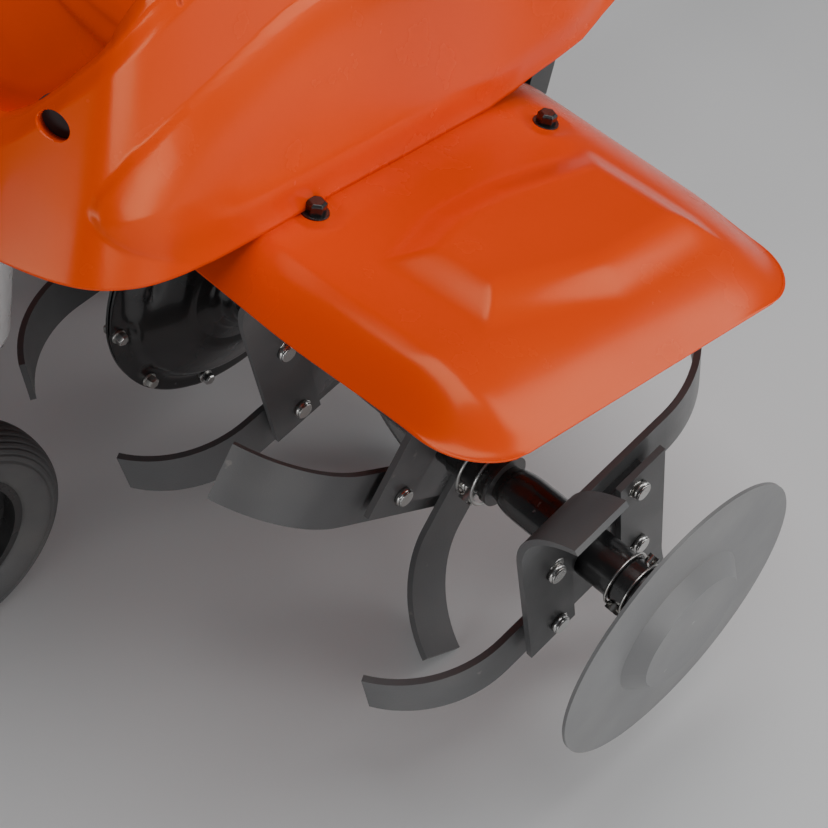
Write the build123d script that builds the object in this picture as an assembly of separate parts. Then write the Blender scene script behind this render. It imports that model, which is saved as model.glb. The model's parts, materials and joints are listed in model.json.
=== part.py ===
"""Front-tine garden rotavator (walk-behind petrol tiller), as separate solids.

Axes: +X forwards, +Y to the machine's left, +Z up. The origin is on the floor, under the
middle of the rotor shaft. The body is drawn level about the rotor shaft (x forwards, z up from
the shaft's centre) and then tipped nose-up by BODY_PITCH, as it stands parked on its transport
wheel, its tines and its drag stake. All lengths are in millimetres and all angles in degrees.
"""
from build123d import *
from math import asin, atan2, cos, degrees, hypot, radians, sin
import os

os.makedirs("parts", exist_ok=True)

# Gap between two pieces that are seated on each other but stay separate solids.
SEAT_GAP = 0.3

# ---- stance ----
BODY_PITCH = 15.0
AXLE_HEIGHT = 182.0

# ---- rotor shaft, hub tubes and lock pins ----
SHAFT_R = 12.0
HUB_R = 18.7
COLLAR_R = 24.0
COLLAR_LENGTH = 41.0
HUB_START = 62.0
HUB_JOINT = 303.0
PIN_R = 4.0
PIN_Y = (287.0, 425.0)
PIN_ANGLE = -30.0
PIN_HEAD_R = 6.0
RING_WIRE_R = 1.2
RING_SPREAD = 7.0

# ---- tine stars ----
STAR_Y = (113.0, 247.0, 384.0)
STAR_TURN = (-8.0, 37.0, -8.0)
RIGHT_TURN = 6.0
STAR_PLATE = 108.0
STAR_THICK = 6.0
BLADE_OFFSET = 48.0
BLADE_WIDTH = 46.0
BLADE_THICK = 5.0
BLADE_ROOT = 58.0
BLADE_BEND_START = 85.0
BLADE_REACH = 174.0
BLADE_BEND = 54.0

# ---- side discs ----
DISC_R = 115.0
DISC_DISH_R = 57.0
DISC_FLOOR_R = 46.0
DISC_DEPTH = 12.0
DISC_Y = 464.0
DISC_THICK = 2.5
HUB_END = DISC_Y - 12.0

# ---- chain case ----
CASE_FLANGE_R = 122.0
CASE_DOME_R = 102.0
CASE_FLAT_R = 62.0
CASE_STEP = 12.0
CASE_HALF = 26.0
FLANGE_THICK = 2.5
CASE_TOP_X = 20.0
CASE_TOP_HALF = 66.0
BOSS_RINGS = ((41.0, 31.0), (36.0, 38.0), (30.0, 50.0))

# ---- engine deck ----
DECK_Z = 196.0
DECK_THICK = 6.0
DECK_X = (-190.0, 210.0)
DECK_HALF = 120.0

# ---- fenders ----
FENDER_X = (-181.0, 187.0)
FENDER_REACH = 390.0
FENDER_RISE = 29.0
FENDER_SKIRT = 2.0
FENDER_SKIN = 2.5
FENDER_CORNER = 50.0
FENDER_SLOPE = 40.0
PLATEAU_X = (-86.0, 106.0)
PLATEAU_Y = (212.0, 338.0)
PLATEAU_RISE = 12.0
PLATEAU_CORNER = 22.0

# ---- front cover ----
COVER_PLAN = ((-230.0, 168.0), (-87.0, 151.0), (207.0, 178.6), (287.0, 178.6), (330.0, 57.0))
COVER_CORNER = 52.0
COVER_DRAFT = 15.0
COVER_BASE = DECK_Z + DECK_THICK + SEAT_GAP
COVER_UNDER = ((-230.0, 70.0), (-175.0, 32.0), (-87.0, 0.0), (324.0, 0.0))
COVER_RIM = 12.0
COVER_SUNK = 12.0
COVER_SKIN = 3.5
PANEL_SIDE = ((-150.0, 28.0), (184.0, 18.0), (242.0, 26.0), (278.0, 56.0), (262.0, 76.0),
              (192.0, 116.0), (60.0, 150.0), (-150.0, 128.0))
PANEL_RAISE = 3.0
PORT = (283.0, 300.0, 11.0)

# ---- engine ----
ENGINE_X = (-85.0, 105.0)
ENGINE_HALF = 85.0
ENGINE_HEIGHT = 206.0
COVER_BELOW_ENGINE = 4.0
COVER_TOP = ENGINE_HEIGHT - COVER_BELOW_ENGINE
COVER_OVER = ((334.0, COVER_TOP - 152.0), (304.0, COVER_TOP - 96.0), (220.0, COVER_TOP - 38.0),
              (90.0, COVER_TOP), (-60.0, COVER_TOP), (-230.0, COVER_TOP - 56.0))
SHROUD_R = 112.0
SHROUD_HEIGHT = 72.0
RECOIL_R = 78.0
RECOIL_HEIGHT = 26.0
TANK_LENGTH = 92.0
TANK_HEIGHT = 92.0
HANDLE_R = 9.0
HANDLE_HALF = 30.0
CAP_R = 24.0
CAP_HEIGHT = 20.0
FILTER_SIZE = (120.0, 58.0, 66.0)
MUFFLER_SIZE = (104.0, 64.0, 62.0)
GUARD_THICK = 2.0

# ---- transport wheel ----
WHEEL_X = 272.0
TYRE_R = 104.0
TYRE_HALF = 25.0
TYRE_SHOULDER = 16.0
BEAD_R = 66.0
RIM_HALF = 17.0
RIM_WALL = 7.0
RIM_WEB = 6.0
WHEEL_HUB_R = 17.0
WHEEL_HUB_HALF = 23.0
RIM_HOLES = 6
RIM_HOLE_R = 11.0
RIM_HOLE_PITCH = 38.0
AXLE_R = 7.9
AXLE_PLAY = 0.2
ARM_PIVOT = (226.0, 20.0)
ARM_GAP = 34.0
ARM_THICK = 5.0
ARM_WIDTH = 36.0
ARM_BOSS = 9.0
ARM_BOSS_R = 15.0
PIN_END = 4.0
STOP_GAP = 5.5
STOP_THICK = 6.0
STOP_R = 13.0
MOUNT_R = 26.0
MOUNT_AHEAD = 20.0
MOUNT_PLATE = 12.0

# ---- bumper ----
BUMPER_R = 8.0
BUMPER_HALF = 60.0
BUMPER_X = (130.0, 350.0)
BUMPER_BEND = 28.0

# ---- handlebars ----
BAR_PIVOT = (-268.0, 250.0)
COLUMN_HALF = 24.0
COLUMN_DROP = 26.0
COLUMN_REACH = 20.0
BAR_R = 14.0
BAR_FOOT = 44.0
BAR_RISE = (-358.0, 62.0, 360.0)
GRIP_HALF = 290.0
GRIP_START = (-860.0, 670.0)
GRIP_TIP = (-1010.0, 700.0)
GRIP_R = 18.0
BRACE_SHARE = 0.62
BRACE_R = 8.0
CONSOLE_SIZE = (70.0, 96.0, 44.0)
LEVER_R = 4.5
LEVER_DROP = 52.0

# ---- drag stake and hitch ----
STAKE_X = -330.0
STAKE_TOP = 250.0
STAKE_SIZE = (12.0, 30.0)
STAKE_PLAY = 0.4
STAKE_HOLES = 5
STAKE_HOLE_R = 4.2
STAKE_HOLE_STEP = 24.0
HITCH_Z = (60.0, 130.0)
SOCKET_WALL = 8.0
HITCH_HALF = 20.0
HITCH_BORE_R = 8.1
HITCH_BORE_X = -298.0


def rod(start, end, radius):
    """A round bar from one point to another."""
    path = Vector(*end) - Vector(*start)
    plane = Plane(origin=start, z_dir=path)
    return plane * Cylinder(radius, path.length, align=(Align.CENTER, Align.CENTER, Align.MIN))


def disc_y(x, z, radius, y0, y1):
    """A cylinder along Y between two stations."""
    return rod((x, y0, z), (x, y1, z), radius)


def block(x0, x1, y0, y1, z0, z1):
    """A box between its low and high faces."""
    return Pos((x0 + x1) / 2, (y0 + y1) / 2, (z0 + z1) / 2) * Box(x1 - x0, y1 - y0, z1 - z0)


def upright(x, y, z, radius, height):
    """A vertical cylinder standing on z."""
    return Pos(x, y, z + height / 2) * Cylinder(radius, height)


def slab_y(outline, y0, y1):
    """A closed outline of (x, z) points, drawn through Y from y0 to y1."""
    face = Plane.XZ.offset(-y0) * make_face(Polyline(*outline, close=True))
    return extrude(face, amount=-(y1 - y0))


def turned(profile, y):
    """A closed profile of (radius, y) points turned about the rotor shaft, moved to station y."""
    face = make_face(Polyline(*[(r, along, 0) for r, along in profile], close=True))
    return Pos(0, y, 0) * revolve(face, Axis.Y)


def tube(points, bend, radius):
    """A bent bar along a line of points with rounded corners."""
    path = FilletPolyline(*points, radius=bend)
    start = Plane(origin=path @ 0, z_dir=path % 0)
    return sweep(start * Circle(radius), path=path)


def mirrored(shape):
    return mirror(shape, about=Plane.XZ)


def floor_z(x):
    """Height of the floor at a station of the tipped body, in the level body frame."""
    tilt = radians(BODY_PITCH)
    return -(AXLE_HEIGHT + x * sin(tilt)) / cos(tilt)


def place(shape):
    """Tip the level body nose-up about the rotor shaft and lift it to its height."""
    return Location((0, 0, AXLE_HEIGHT), (0, -BODY_PITCH, 0)) * shape


def save(name, shape, tipped=True):
    solid = place(shape) if tipped else Pos(0, 0, AXLE_HEIGHT) * shape
    export_step(solid, f"parts/{name}.step")


# ---- rotor pieces, drawn about the shaft in the machine's level frame ----
def star_plate(station, turn):
    plate = Pos(0, station, 0) * Box(STAR_PLATE, STAR_THICK, STAR_PLATE)
    return plate.rotate(Axis.Y, -turn)


def blade(station, turn, outward):
    """A flat strip bolted along one side of a star plate; its free end curves sideways."""
    side = 1 if outward else -1
    run = BLADE_REACH - BLADE_BEND_START
    bend_r = (run ** 2 + BLADE_BEND ** 2) / (2 * BLADE_BEND)
    sweep_angle = asin(run / bend_r)
    seat = side * STAR_THICK / 2
    back_r = bend_r - BLADE_THICK

    def on_arc(radius, share):
        angle = sweep_angle * share
        return (BLADE_BEND_START + radius * sin(angle), seat + side * (bend_r - radius * cos(angle)))

    back = seat + side * BLADE_THICK
    edges = [
        Line((-BLADE_ROOT, seat), (BLADE_BEND_START, seat)),
        ThreePointArc((BLADE_BEND_START, seat), on_arc(bend_r, 0.5), on_arc(bend_r, 1)),
        Line(on_arc(bend_r, 1), on_arc(back_r, 1)),
        ThreePointArc(on_arc(back_r, 1), on_arc(back_r, 0.5), (BLADE_BEND_START, back)),
        Line((BLADE_BEND_START, back), (-BLADE_ROOT, back)),
        Line((-BLADE_ROOT, back), (-BLADE_ROOT, seat)),
    ]
    strip = extrude(make_face(edges), amount=BLADE_WIDTH / 2, both=True)
    strip = Pos(0, station, -BLADE_OFFSET) * strip
    return strip.rotate(Axis.Y, -turn)


def star_blades(station, turn):
    """Four strips round the plate: two inside, bent inwards, and two outside, bent outwards."""
    strips = []
    for quarter in range(4):
        strips.append(blade(station, turn + 90 * quarter, outward=quarter % 2 == 1))
    return strips


def pin_hole(station):
    """The cross hole that a lock pin passes through."""
    hole = Pos(0, station, 0) * rod((-3 * HUB_R, 0, 0), (3 * HUB_R, 0, 0), PIN_R + SEAT_GAP)
    return hole.rotate(Axis.Y, -PIN_ANGLE)


def hub(start, end, stars):
    body = disc_y(0, 0, HUB_R, start, end)
    for station, turn in stars:
        body += star_plate(station, turn)
    return body


def inner_hub(stars):
    """The inner tube with its two stars, and the thicker socket at its outer end."""
    body = hub(HUB_START, HUB_JOINT, stars)
    body += disc_y(0, 0, COLLAR_R, HUB_JOINT - COLLAR_LENGTH, HUB_JOINT)
    body -= disc_y(0, 0, SHAFT_R + SEAT_GAP, HUB_START - 1, HUB_JOINT + 1)
    return body - pin_hole(PIN_Y[0])


def outer_hub(stars):
    body = hub(HUB_JOINT + SEAT_GAP, HUB_END, stars)
    body -= disc_y(0, 0, SHAFT_R + SEAT_GAP, HUB_JOINT - 1, HUB_END + 1)
    return body - pin_hole(PIN_Y[1])


def lock_pin(station, seat_r):
    """A headed cross pin, held by a wire clip that loops round the tube on both sides of it."""
    loop_r = seat_r + 2 * RING_WIRE_R
    pin = rod((-loop_r - PIN_R, 0, 0), (loop_r, 0, 0), PIN_R)
    pin += rod((seat_r + SEAT_GAP, 0, 0), (loop_r + PIN_HEAD_R / 2, 0, 0), PIN_HEAD_R)
    pin += rod((loop_r, -RING_SPREAD, 0), (loop_r, RING_SPREAD, 0), RING_WIRE_R)
    wire = revolve(Pos(loop_r, 0) * Circle(RING_WIRE_R), Axis.Y)
    for side in (-1, 1):
        pin += Pos(0, side * RING_SPREAD, 0) * wire
    return Pos(0, station, 0) * pin.rotate(Axis.Y, -PIN_ANGLE)


def protection_disc():
    """A thin dished side disc on a short sleeve that slides on the end of the shaft."""
    thick = DISC_THICK
    body = turned(((0, DISC_DEPTH), (DISC_FLOOR_R, DISC_DEPTH), (DISC_DISH_R, 0), (DISC_R, 0),
                   (DISC_R, thick), (DISC_DISH_R + thick, thick), (DISC_FLOOR_R + thick / 2, DISC_DEPTH + thick),
                   (0, DISC_DEPTH + thick)), DISC_Y)
    body += disc_y(0, 0, HUB_R, HUB_END + SEAT_GAP, DISC_Y + DISC_DEPTH)
    return body - disc_y(0, 0, SHAFT_R + SEAT_GAP, HUB_END - 1, DISC_Y + SEAT_GAP)


def rotor_side(side, turn_extra):
    stars = [(station, turn + turn_extra) for station, turn in zip(STAR_Y, STAR_TURN)]
    pieces = {
        "inner_hub": inner_hub(stars[:2]),
        "outer_hub": outer_hub(stars[2:]),
        "inner_tines": Compound(star_blades(*stars[0]) + star_blades(*stars[1])),
        "outer_tines": Compound(star_blades(*stars[2])),
        "protection_disc": protection_disc(),
    }
    for name, shape in pieces.items():
        if side == "right":
            shape = mirrored(shape)
        save(f"{name}_{side}", shape, tipped=False)
    toward = -1 if side == "right" else 1
    save(f"inner_lock_pin_{side}", lock_pin(toward * PIN_Y[0], COLLAR_R), tipped=False)
    save(f"outer_lock_pin_{side}", lock_pin(toward * PIN_Y[1], HUB_R), tipped=False)


def rotor():
    shaft = disc_y(0, 0, SHAFT_R, -DISC_Y, DISC_Y)
    for station in PIN_Y:
        shaft -= pin_hole(station) + pin_hole(-station)
    save("rotor_shaft", shaft, tipped=False)
    rotor_side("left", 0.0)
    rotor_side("right", RIGHT_TURN)


# ---- body pieces, drawn in the level body frame ----
def neck(radius, half_top, y0, y1):
    """The tangent-sided outline from the sprocket end of the chain case up to the deck."""
    outline = ((-radius, 0), (radius, 0), (CASE_TOP_X + half_top, DECK_Z - SEAT_GAP),
               (CASE_TOP_X - half_top, DECK_Z - SEAT_GAP))
    return slab_y(outline, y0, y1)


def case_half():
    """One pressed half: bolting flange, step, sloping dome and the stepped shaft boss."""
    body = disc_y(0, 0, CASE_FLANGE_R, 0, FLANGE_THICK) + neck(CASE_FLANGE_R, CASE_TOP_HALF, 0, FLANGE_THICK)
    body += disc_y(0, 0, CASE_DOME_R, 0, CASE_STEP)
    body += neck(CASE_DOME_R, CASE_TOP_HALF - 16, 0, CASE_STEP)
    slope = CASE_HALF - CASE_STEP
    dome = Plane(origin=(0, CASE_STEP, 0), z_dir=(0, 1, 0)) * Cone(CASE_DOME_R, CASE_FLAT_R, slope,
                                                                   align=(Align.CENTER, Align.CENTER, Align.MIN))
    body += dome + neck(CASE_FLAT_R, CASE_TOP_HALF - 32, 0, CASE_HALF)
    for radius, reach in BOSS_RINGS:
        body += disc_y(0, 0, radius, 0, reach)
    return body - disc_y(0, 0, SHAFT_R + SEAT_GAP, -1, BOSS_RINGS[-1][1] + 1)


def rounded_plan(x_span, y_span, corner, inset):
    """A rectangle in plan with its two outer corners rounded, drawn in by the inset."""
    width = x_span[1] - x_span[0] - 2 * inset
    depth = y_span[1] - y_span[0] - 2 * inset
    plan = Pos((x_span[0] + x_span[1]) / 2, (y_span[0] + y_span[1]) / 2) * Rectangle(width, depth)
    return fillet(plan.vertices(), corner - inset)


def fender_solid(inset):
    """Skirt, sloping sides and raised plateau, whole across the machine's middle."""
    base = DECK_Z + DECK_THICK - FENDER_RISE - FENDER_SKIRT
    plan = rounded_plan(FENDER_X, (-FENDER_REACH, FENDER_REACH), FENDER_CORNER, inset)
    solid = extrude(Plane.XY.offset(base) * plan, FENDER_SKIRT)
    solid += extrude(Plane.XY.offset(base + FENDER_SKIRT) * plan, FENDER_RISE - inset, taper=FENDER_SLOPE)
    raised = rounded_plan(PLATEAU_X, PLATEAU_Y, PLATEAU_CORNER, inset)
    solid += extrude(Plane.XY.offset(base + FENDER_SKIRT + FENDER_RISE - inset - 1) * raised, PLATEAU_RISE + 1,
                     taper=FENDER_SLOPE)
    return solid


def fender():
    shell = fender_solid(0) - fender_solid(FENDER_SKIN)
    return shell - block(-600, 600, -2 * FENDER_REACH, DECK_HALF + SEAT_GAP, -200, 600)


def deck():
    return block(DECK_X[0], DECK_X[1], -DECK_HALF, DECK_HALF, DECK_Z, DECK_Z + DECK_THICK)


def drafted_plan(inset):
    """The plan outline drawn up with sides that lean inwards by the draft angle."""
    left = [(x, y) for x, y in reversed(COVER_PLAN)]
    right = [(x, -y) for x, y in COVER_PLAN]
    plan = make_face(Polyline(*left, *right, close=True))
    plan = fillet([v for v in plan.vertices() if v.X > COVER_PLAN[2][0] + 1], COVER_CORNER)
    if inset:
        plan = offset(plan, amount=-inset, kind=Kind.INTERSECTION)
    height = COVER_OVER[3][1] + 2 * COVER_SKIN
    return extrude(Plane.XY.offset(COVER_BASE) * plan, height, taper=COVER_DRAFT)


def side_slab(outline, inset):
    """An outline of (x, height above the cover's bottom edge), drawn right across the machine."""
    face = make_face(Polyline(*[(x, z + COVER_BASE) for x, z in outline], close=True))
    if inset:
        face = offset(face, amount=-inset, kind=Kind.INTERSECTION)
    return extrude(Plane.XZ * face, amount=2 * COVER_PLAN[2][1], both=True)


def sunk_top(inset, depth):
    """What is taken off inside the ridge, so that the top lies lower than the rim round it."""
    high = COVER_OVER[3][1] + 4 * COVER_SUNK
    rear = COVER_OVER[-1]
    nose = COVER_OVER[0]
    line = [(x, z - depth) for x, z in COVER_OVER]
    outline = [(nose[0], high)] + line + [(rear[0] - 4 * COVER_RIM, rear[1] - depth), (rear[0] - 4 * COVER_RIM, high)]
    across = drafted_plan(inset)
    return (across + Pos(-3 * COVER_RIM, 0, 0) * across) & side_slab(outline, 0)


def front_cover():
    """A thin shell, open underneath and at the rear, with a raised panel along each side."""
    outline = COVER_UNDER + COVER_OVER
    body = drafted_plan(0) & side_slab(outline, 0)
    body += drafted_plan(-PANEL_RAISE) & side_slab(PANEL_SIDE, 0)
    body -= sunk_top(COVER_RIM, COVER_SUNK)
    inner = drafted_plan(COVER_SKIN) & side_slab(outline, COVER_SKIN)
    inner -= sunk_top(COVER_RIM - COVER_SKIN, COVER_SUNK + COVER_SKIN)
    body = body - inner - Pos(-1.2 * COVER_SKIN, 0, 0) * inner - Pos(0, 0, -2 * COVER_SKIN) * inner
    x, z, radius = PORT
    for toward in (-1, 1):
        body -= rod((x - 60, 0, z), (x + 60, toward * 400, z), radius)
    opening = ENGINE_HALF + 5
    base = DECK_Z + DECK_THICK
    body -= block(-400, ENGINE_X[1] + 15, -opening, opening, base + ENGINE_HEIGHT / 2, base + 2 * ENGINE_HEIGHT)
    return body


def engine():
    x0, x1 = ENGINE_X
    mid = (x0 + x1) / 2
    base = DECK_Z + DECK_THICK + SEAT_GAP
    top = base + ENGINE_HEIGHT
    save("engine_block", block(x0, x1, -ENGINE_HALF, ENGINE_HALF, base, top))
    shroud_z = top + SEAT_GAP
    shroud = upright(mid, 0, shroud_z, SHROUD_R, SHROUD_HEIGHT)
    save("cooling_shroud", fillet(shroud.edges().sort_by(Axis.Z)[-1], SHROUD_HEIGHT / 5))
    recoil = upright(mid, 0, shroud_z + SHROUD_HEIGHT + SEAT_GAP, RECOIL_R, RECOIL_HEIGHT)
    save("recoil_cover", fillet(recoil.edges().sort_by(Axis.Z)[-1], RECOIL_HEIGHT / 3))
    handle_x = mid - SHROUD_R - HANDLE_R - SEAT_GAP
    handle_z = shroud_z + SHROUD_HEIGHT / 2
    save("starter_handle", rod((handle_x, -HANDLE_HALF, handle_z), (handle_x, HANDLE_HALF, handle_z), HANDLE_R))
    tank_top = top - 2
    tank = block(x0 - TANK_LENGTH, x0 - SEAT_GAP, -ENGINE_HALF, ENGINE_HALF, tank_top - TANK_HEIGHT, tank_top)
    save("fuel_tank", fillet(tank.edges(), TANK_LENGTH / 6))
    save("fuel_cap", upright(x0 - TANK_LENGTH * 0.6, ENGINE_HALF / 2, tank_top + SEAT_GAP, CAP_R, CAP_HEIGHT))
    fx, fy, fz = FILTER_SIZE
    near = SHROUD_R + SEAT_GAP
    air_filter = block(mid - fx / 2, mid + fx / 2, near, near + fy, shroud_z, shroud_z + fz)
    save("air_filter", fillet(air_filter.edges(), fz / 6))
    mx, my, mz = MUFFLER_SIZE
    muffler = block(mid - mx / 2, mid + mx / 2, -near - my, -near, shroud_z, shroud_z + mz)
    save("muffler", fillet(muffler.edges(), mz / 6))
    outside = near + my + SEAT_GAP
    guard = block(mid - mx / 2, mid + mx / 2, -outside - GUARD_THICK, -outside, shroud_z, shroud_z + mz)
    for row in range(4):
        z = shroud_z + mz * (row + 0.75) / 5
        guard -= block(mid - mx * 0.38, mid + mx * 0.38, -outside - 9, -outside + 9, z, z + mz / 10)
    save("muffler_guard", guard)


def wheel_centre():
    """Where the wheel's axle sits when its tyre stands on the floor."""
    tilt = radians(BODY_PITCH)
    return WHEEL_X, (TYRE_R - AXLE_HEIGHT - WHEEL_X * sin(tilt)) / cos(tilt)


def wheel():
    x, z = wheel_centre()
    tyre = disc_y(x, z, TYRE_R, -TYRE_HALF, TYRE_HALF)
    tyre = fillet(tyre.edges(), TYRE_SHOULDER) - disc_y(x, z, BEAD_R, -TYRE_HALF - 1, TYRE_HALF + 1)
    save("tyre", tyre)
    rim = disc_y(x, z, BEAD_R - SEAT_GAP / 2, -RIM_HALF, RIM_HALF)
    rim -= disc_y(x, z, BEAD_R - RIM_WALL, -RIM_HALF - 1, RIM_HALF + 1)
    rim += disc_y(x, z, BEAD_R - RIM_WALL / 2, -RIM_WEB / 2, RIM_WEB / 2)
    rim += disc_y(x, z, WHEEL_HUB_R, -WHEEL_HUB_HALF, WHEEL_HUB_HALF)
    rim -= disc_y(x, z, AXLE_R + AXLE_PLAY, -WHEEL_HUB_HALF - 1, WHEEL_HUB_HALF + 1)
    for hole in range(RIM_HOLES):
        angle = radians(360 * hole / RIM_HOLES)
        rim -= disc_y(x + RIM_HOLE_PITCH * cos(angle), z + RIM_HOLE_PITCH * sin(angle), RIM_HOLE_R, -RIM_WEB, RIM_WEB)
    save("wheel_rim", rim)


def wheel_arm():
    """One cheek on the right of the wheel, from the pivot down to a stub axle with a stop on its end."""
    x, z = wheel_centre()
    px, pz = ARM_PIVOT
    length = hypot(px - x, pz - z)
    tilt = degrees(atan2(px - x, pz - z))
    y0, y1 = -ARM_GAP - ARM_THICK, -ARM_GAP
    arm = block(-ARM_WIDTH / 2, ARM_WIDTH / 2, y0, y1, 0, length)
    arm += disc_y(0, 0, ARM_WIDTH / 2, y0, y1) + disc_y(0, length, ARM_WIDTH / 2, y0, y1)
    arm += disc_y(0, length, ARM_BOSS_R, y0 - ARM_BOSS, y1)
    arm -= disc_y(0, length, AXLE_R + AXLE_PLAY, y0 - ARM_BOSS - 1, y1 + 1)
    save("wheel_arm", Pos(x, 0, z) * arm.rotate(Axis.Y, tilt))
    end = WHEEL_HUB_HALF + STOP_GAP
    axle = disc_y(x, z, AXLE_R, y1, end + STOP_THICK)
    save("wheel_axle", axle + disc_y(x, z, STOP_R, end, end + STOP_THICK))


def wheel_mount():
    """A round post under the front of the deck, with the cross pin that the wheel arm swings on."""
    px, pz = ARM_PIVOT
    inner = ARM_GAP - 1
    top = DECK_Z - SEAT_GAP
    mount = block(px - 16, px + MOUNT_AHEAD, -inner, inner, pz - 16, pz + 16)
    mount += upright(px + MOUNT_AHEAD, 0, pz - 16, MOUNT_R, top - pz + 16)
    mount += block(DECK_X[1] - 30, px + MOUNT_AHEAD + MOUNT_R, -inner, inner, top - MOUNT_PLATE, top)
    mount += disc_y(px, pz, AXLE_R, -ARM_GAP - ARM_THICK - ARM_BOSS - PIN_END, inner)
    save("wheel_mount", mount)


def bumper():
    x0, x1 = BUMPER_X
    z = DECK_Z - BUMPER_R - SEAT_GAP
    points = ((x0, BUMPER_HALF, z), (x1, BUMPER_HALF, z), (x1, -BUMPER_HALF, z), (x0, -BUMPER_HALF, z))
    save("front_bumper", tube(points, BUMPER_BEND, BUMPER_R))


def handlebars():
    px, pz = BAR_PIVOT
    tubes = rod((px, -BAR_FOOT, pz), (px, BAR_FOOT, pz), BAR_R)
    rise = Vector(*BAR_RISE)
    start = Vector(GRIP_START[0], GRIP_HALF, GRIP_START[1])
    tip = Vector(GRIP_TIP[0], GRIP_HALF, GRIP_TIP[1])
    brace = rise + (start - rise) * BRACE_SHARE
    along = (tip - start).normalized()
    under = Vector(-along.Z, 0, along.X)
    grips = []
    levers = []
    for side in (-1, 1):
        def across(point):
            return (point.X, side * point.Y, point.Z)
        foot = Vector(px, BAR_FOOT, pz)
        tubes += tube((across(foot), across(rise), across(start), across(tip)), 3 * BAR_R, BAR_R)
        low = start + (tip - start) * 0.25
        grip = rod(across(low), across(tip + (tip - start) * 0.04), GRIP_R)
        grips.append(grip - rod(across(low - (tip - start)), across(tip), BAR_R + SEAT_GAP / 2))
        hook = start + along * (GRIP_R * 1.2)
        lever = rod(across(hook + under * (BAR_R + SEAT_GAP)), across(hook + under * LEVER_DROP), LEVER_R)
        lever += rod(across(hook + under * LEVER_DROP), across(tip + under * LEVER_DROP * 0.8), LEVER_R)
        lever += Pos(*across(hook + under * LEVER_DROP)) * Sphere(LEVER_R)
        levers.append(lever)
    tubes += rod((brace.X, -brace.Y, brace.Z), (brace.X, brace.Y, brace.Z), BRACE_R)
    save("handlebar_tubes", tubes)
    save("grips", Compound(grips))
    save("clutch_lever", levers[1])
    save("reverse_lever", levers[0])
    cx, cy, cz = CONSOLE_SIZE
    console = Pos(brace.X, 0, brace.Z + BRACE_R + SEAT_GAP + cz / 2) * Box(cx, cy, cz)
    save("handle_console", fillet(console.edges(), cz / 5))
    column = block(px - COLUMN_REACH, DECK_X[0], -COLUMN_HALF, COLUMN_HALF, DECK_Z - COLUMN_DROP, DECK_Z - SEAT_GAP)
    column += block(DECK_X[0] - 1, DECK_X[0] + 50, -COLUMN_HALF, COLUMN_HALF, DECK_Z - COLUMN_DROP,
                    DECK_Z - SEAT_GAP)
    column += block(px - COLUMN_REACH, px + COLUMN_REACH, -COLUMN_HALF, COLUMN_HALF, DECK_Z - COLUMN_DROP,
                    pz + COLUMN_REACH)
    column -= disc_y(px, pz, BAR_R + SEAT_GAP, -COLUMN_HALF - 1, COLUMN_HALF + 1)
    save("handlebar_column", column)


def stake():
    """A flat bar standing on the floor in the open socket of the hitch."""
    sx, sy = STAKE_SIZE
    x0 = STAKE_X - sx / 2
    x1 = STAKE_X + sx / 2
    outline = ((x0, floor_z(x0)), (x1, floor_z(x1)), (x1, STAKE_TOP), (x0, STAKE_TOP))
    bar = slab_y(outline, -sy / 2, sy / 2)
    for hole in range(STAKE_HOLES):
        z = STAKE_TOP - STAKE_HOLE_STEP * (hole + 0.8)
        bar -= rod((x0 - 1, 0, z), (x1 + 1, 0, z), STAKE_HOLE_R)
    save("drag_stake", bar)
    z0, z1 = HITCH_Z
    wall = STAKE_PLAY + SOCKET_WALL
    hitch = block(x0 - wall, x1 + wall, -HITCH_HALF - 4, HITCH_HALF + 4, z0, z1)
    hitch += block(x1, -200, -HITCH_HALF, HITCH_HALF, z0 + 10, z1 - 10)
    hitch += block(-280, -200, -HITCH_HALF, HITCH_HALF, z1 - 11, DECK_Z - COLUMN_DROP - SEAT_GAP)
    hitch -= block(x0 - STAKE_PLAY, x1 + STAKE_PLAY, -sy / 2 - STAKE_PLAY, sy / 2 + STAKE_PLAY, z0 - 1, z1 + 1)
    hitch -= upright(HITCH_BORE_X, 0, z0, HITCH_BORE_R, z1 - z0)
    save("hitch", hitch)


def body():
    left = case_half()
    save("chain_case_left", left)
    save("chain_case_right", mirrored(left))
    guard = fender()
    save("fender_left", guard)
    save("fender_right", mirrored(guard))
    save("engine_deck", deck())
    save("front_cover", front_cover())


rotor()
body()
engine()
wheel()
wheel_arm()
wheel_mount()
bumper()
handlebars()
stake()
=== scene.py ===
# %% [markdown]
# # A garden rotavator, dressed for looking at
# The solid model of the machine is already packed as a fixed frame of named pieces. This lesson
# keeps that frame where it is, gives every piece a believable finish, and swaps the pressed
# orange panels and a few other pieces for finer meshes of the same size. Most code cells print
# what they made, so the machine can be followed as it grows.

# %% Load the imported machine
import json
import math
import random

import bmesh
import bpy
from mathutils import Matrix, Vector


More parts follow.
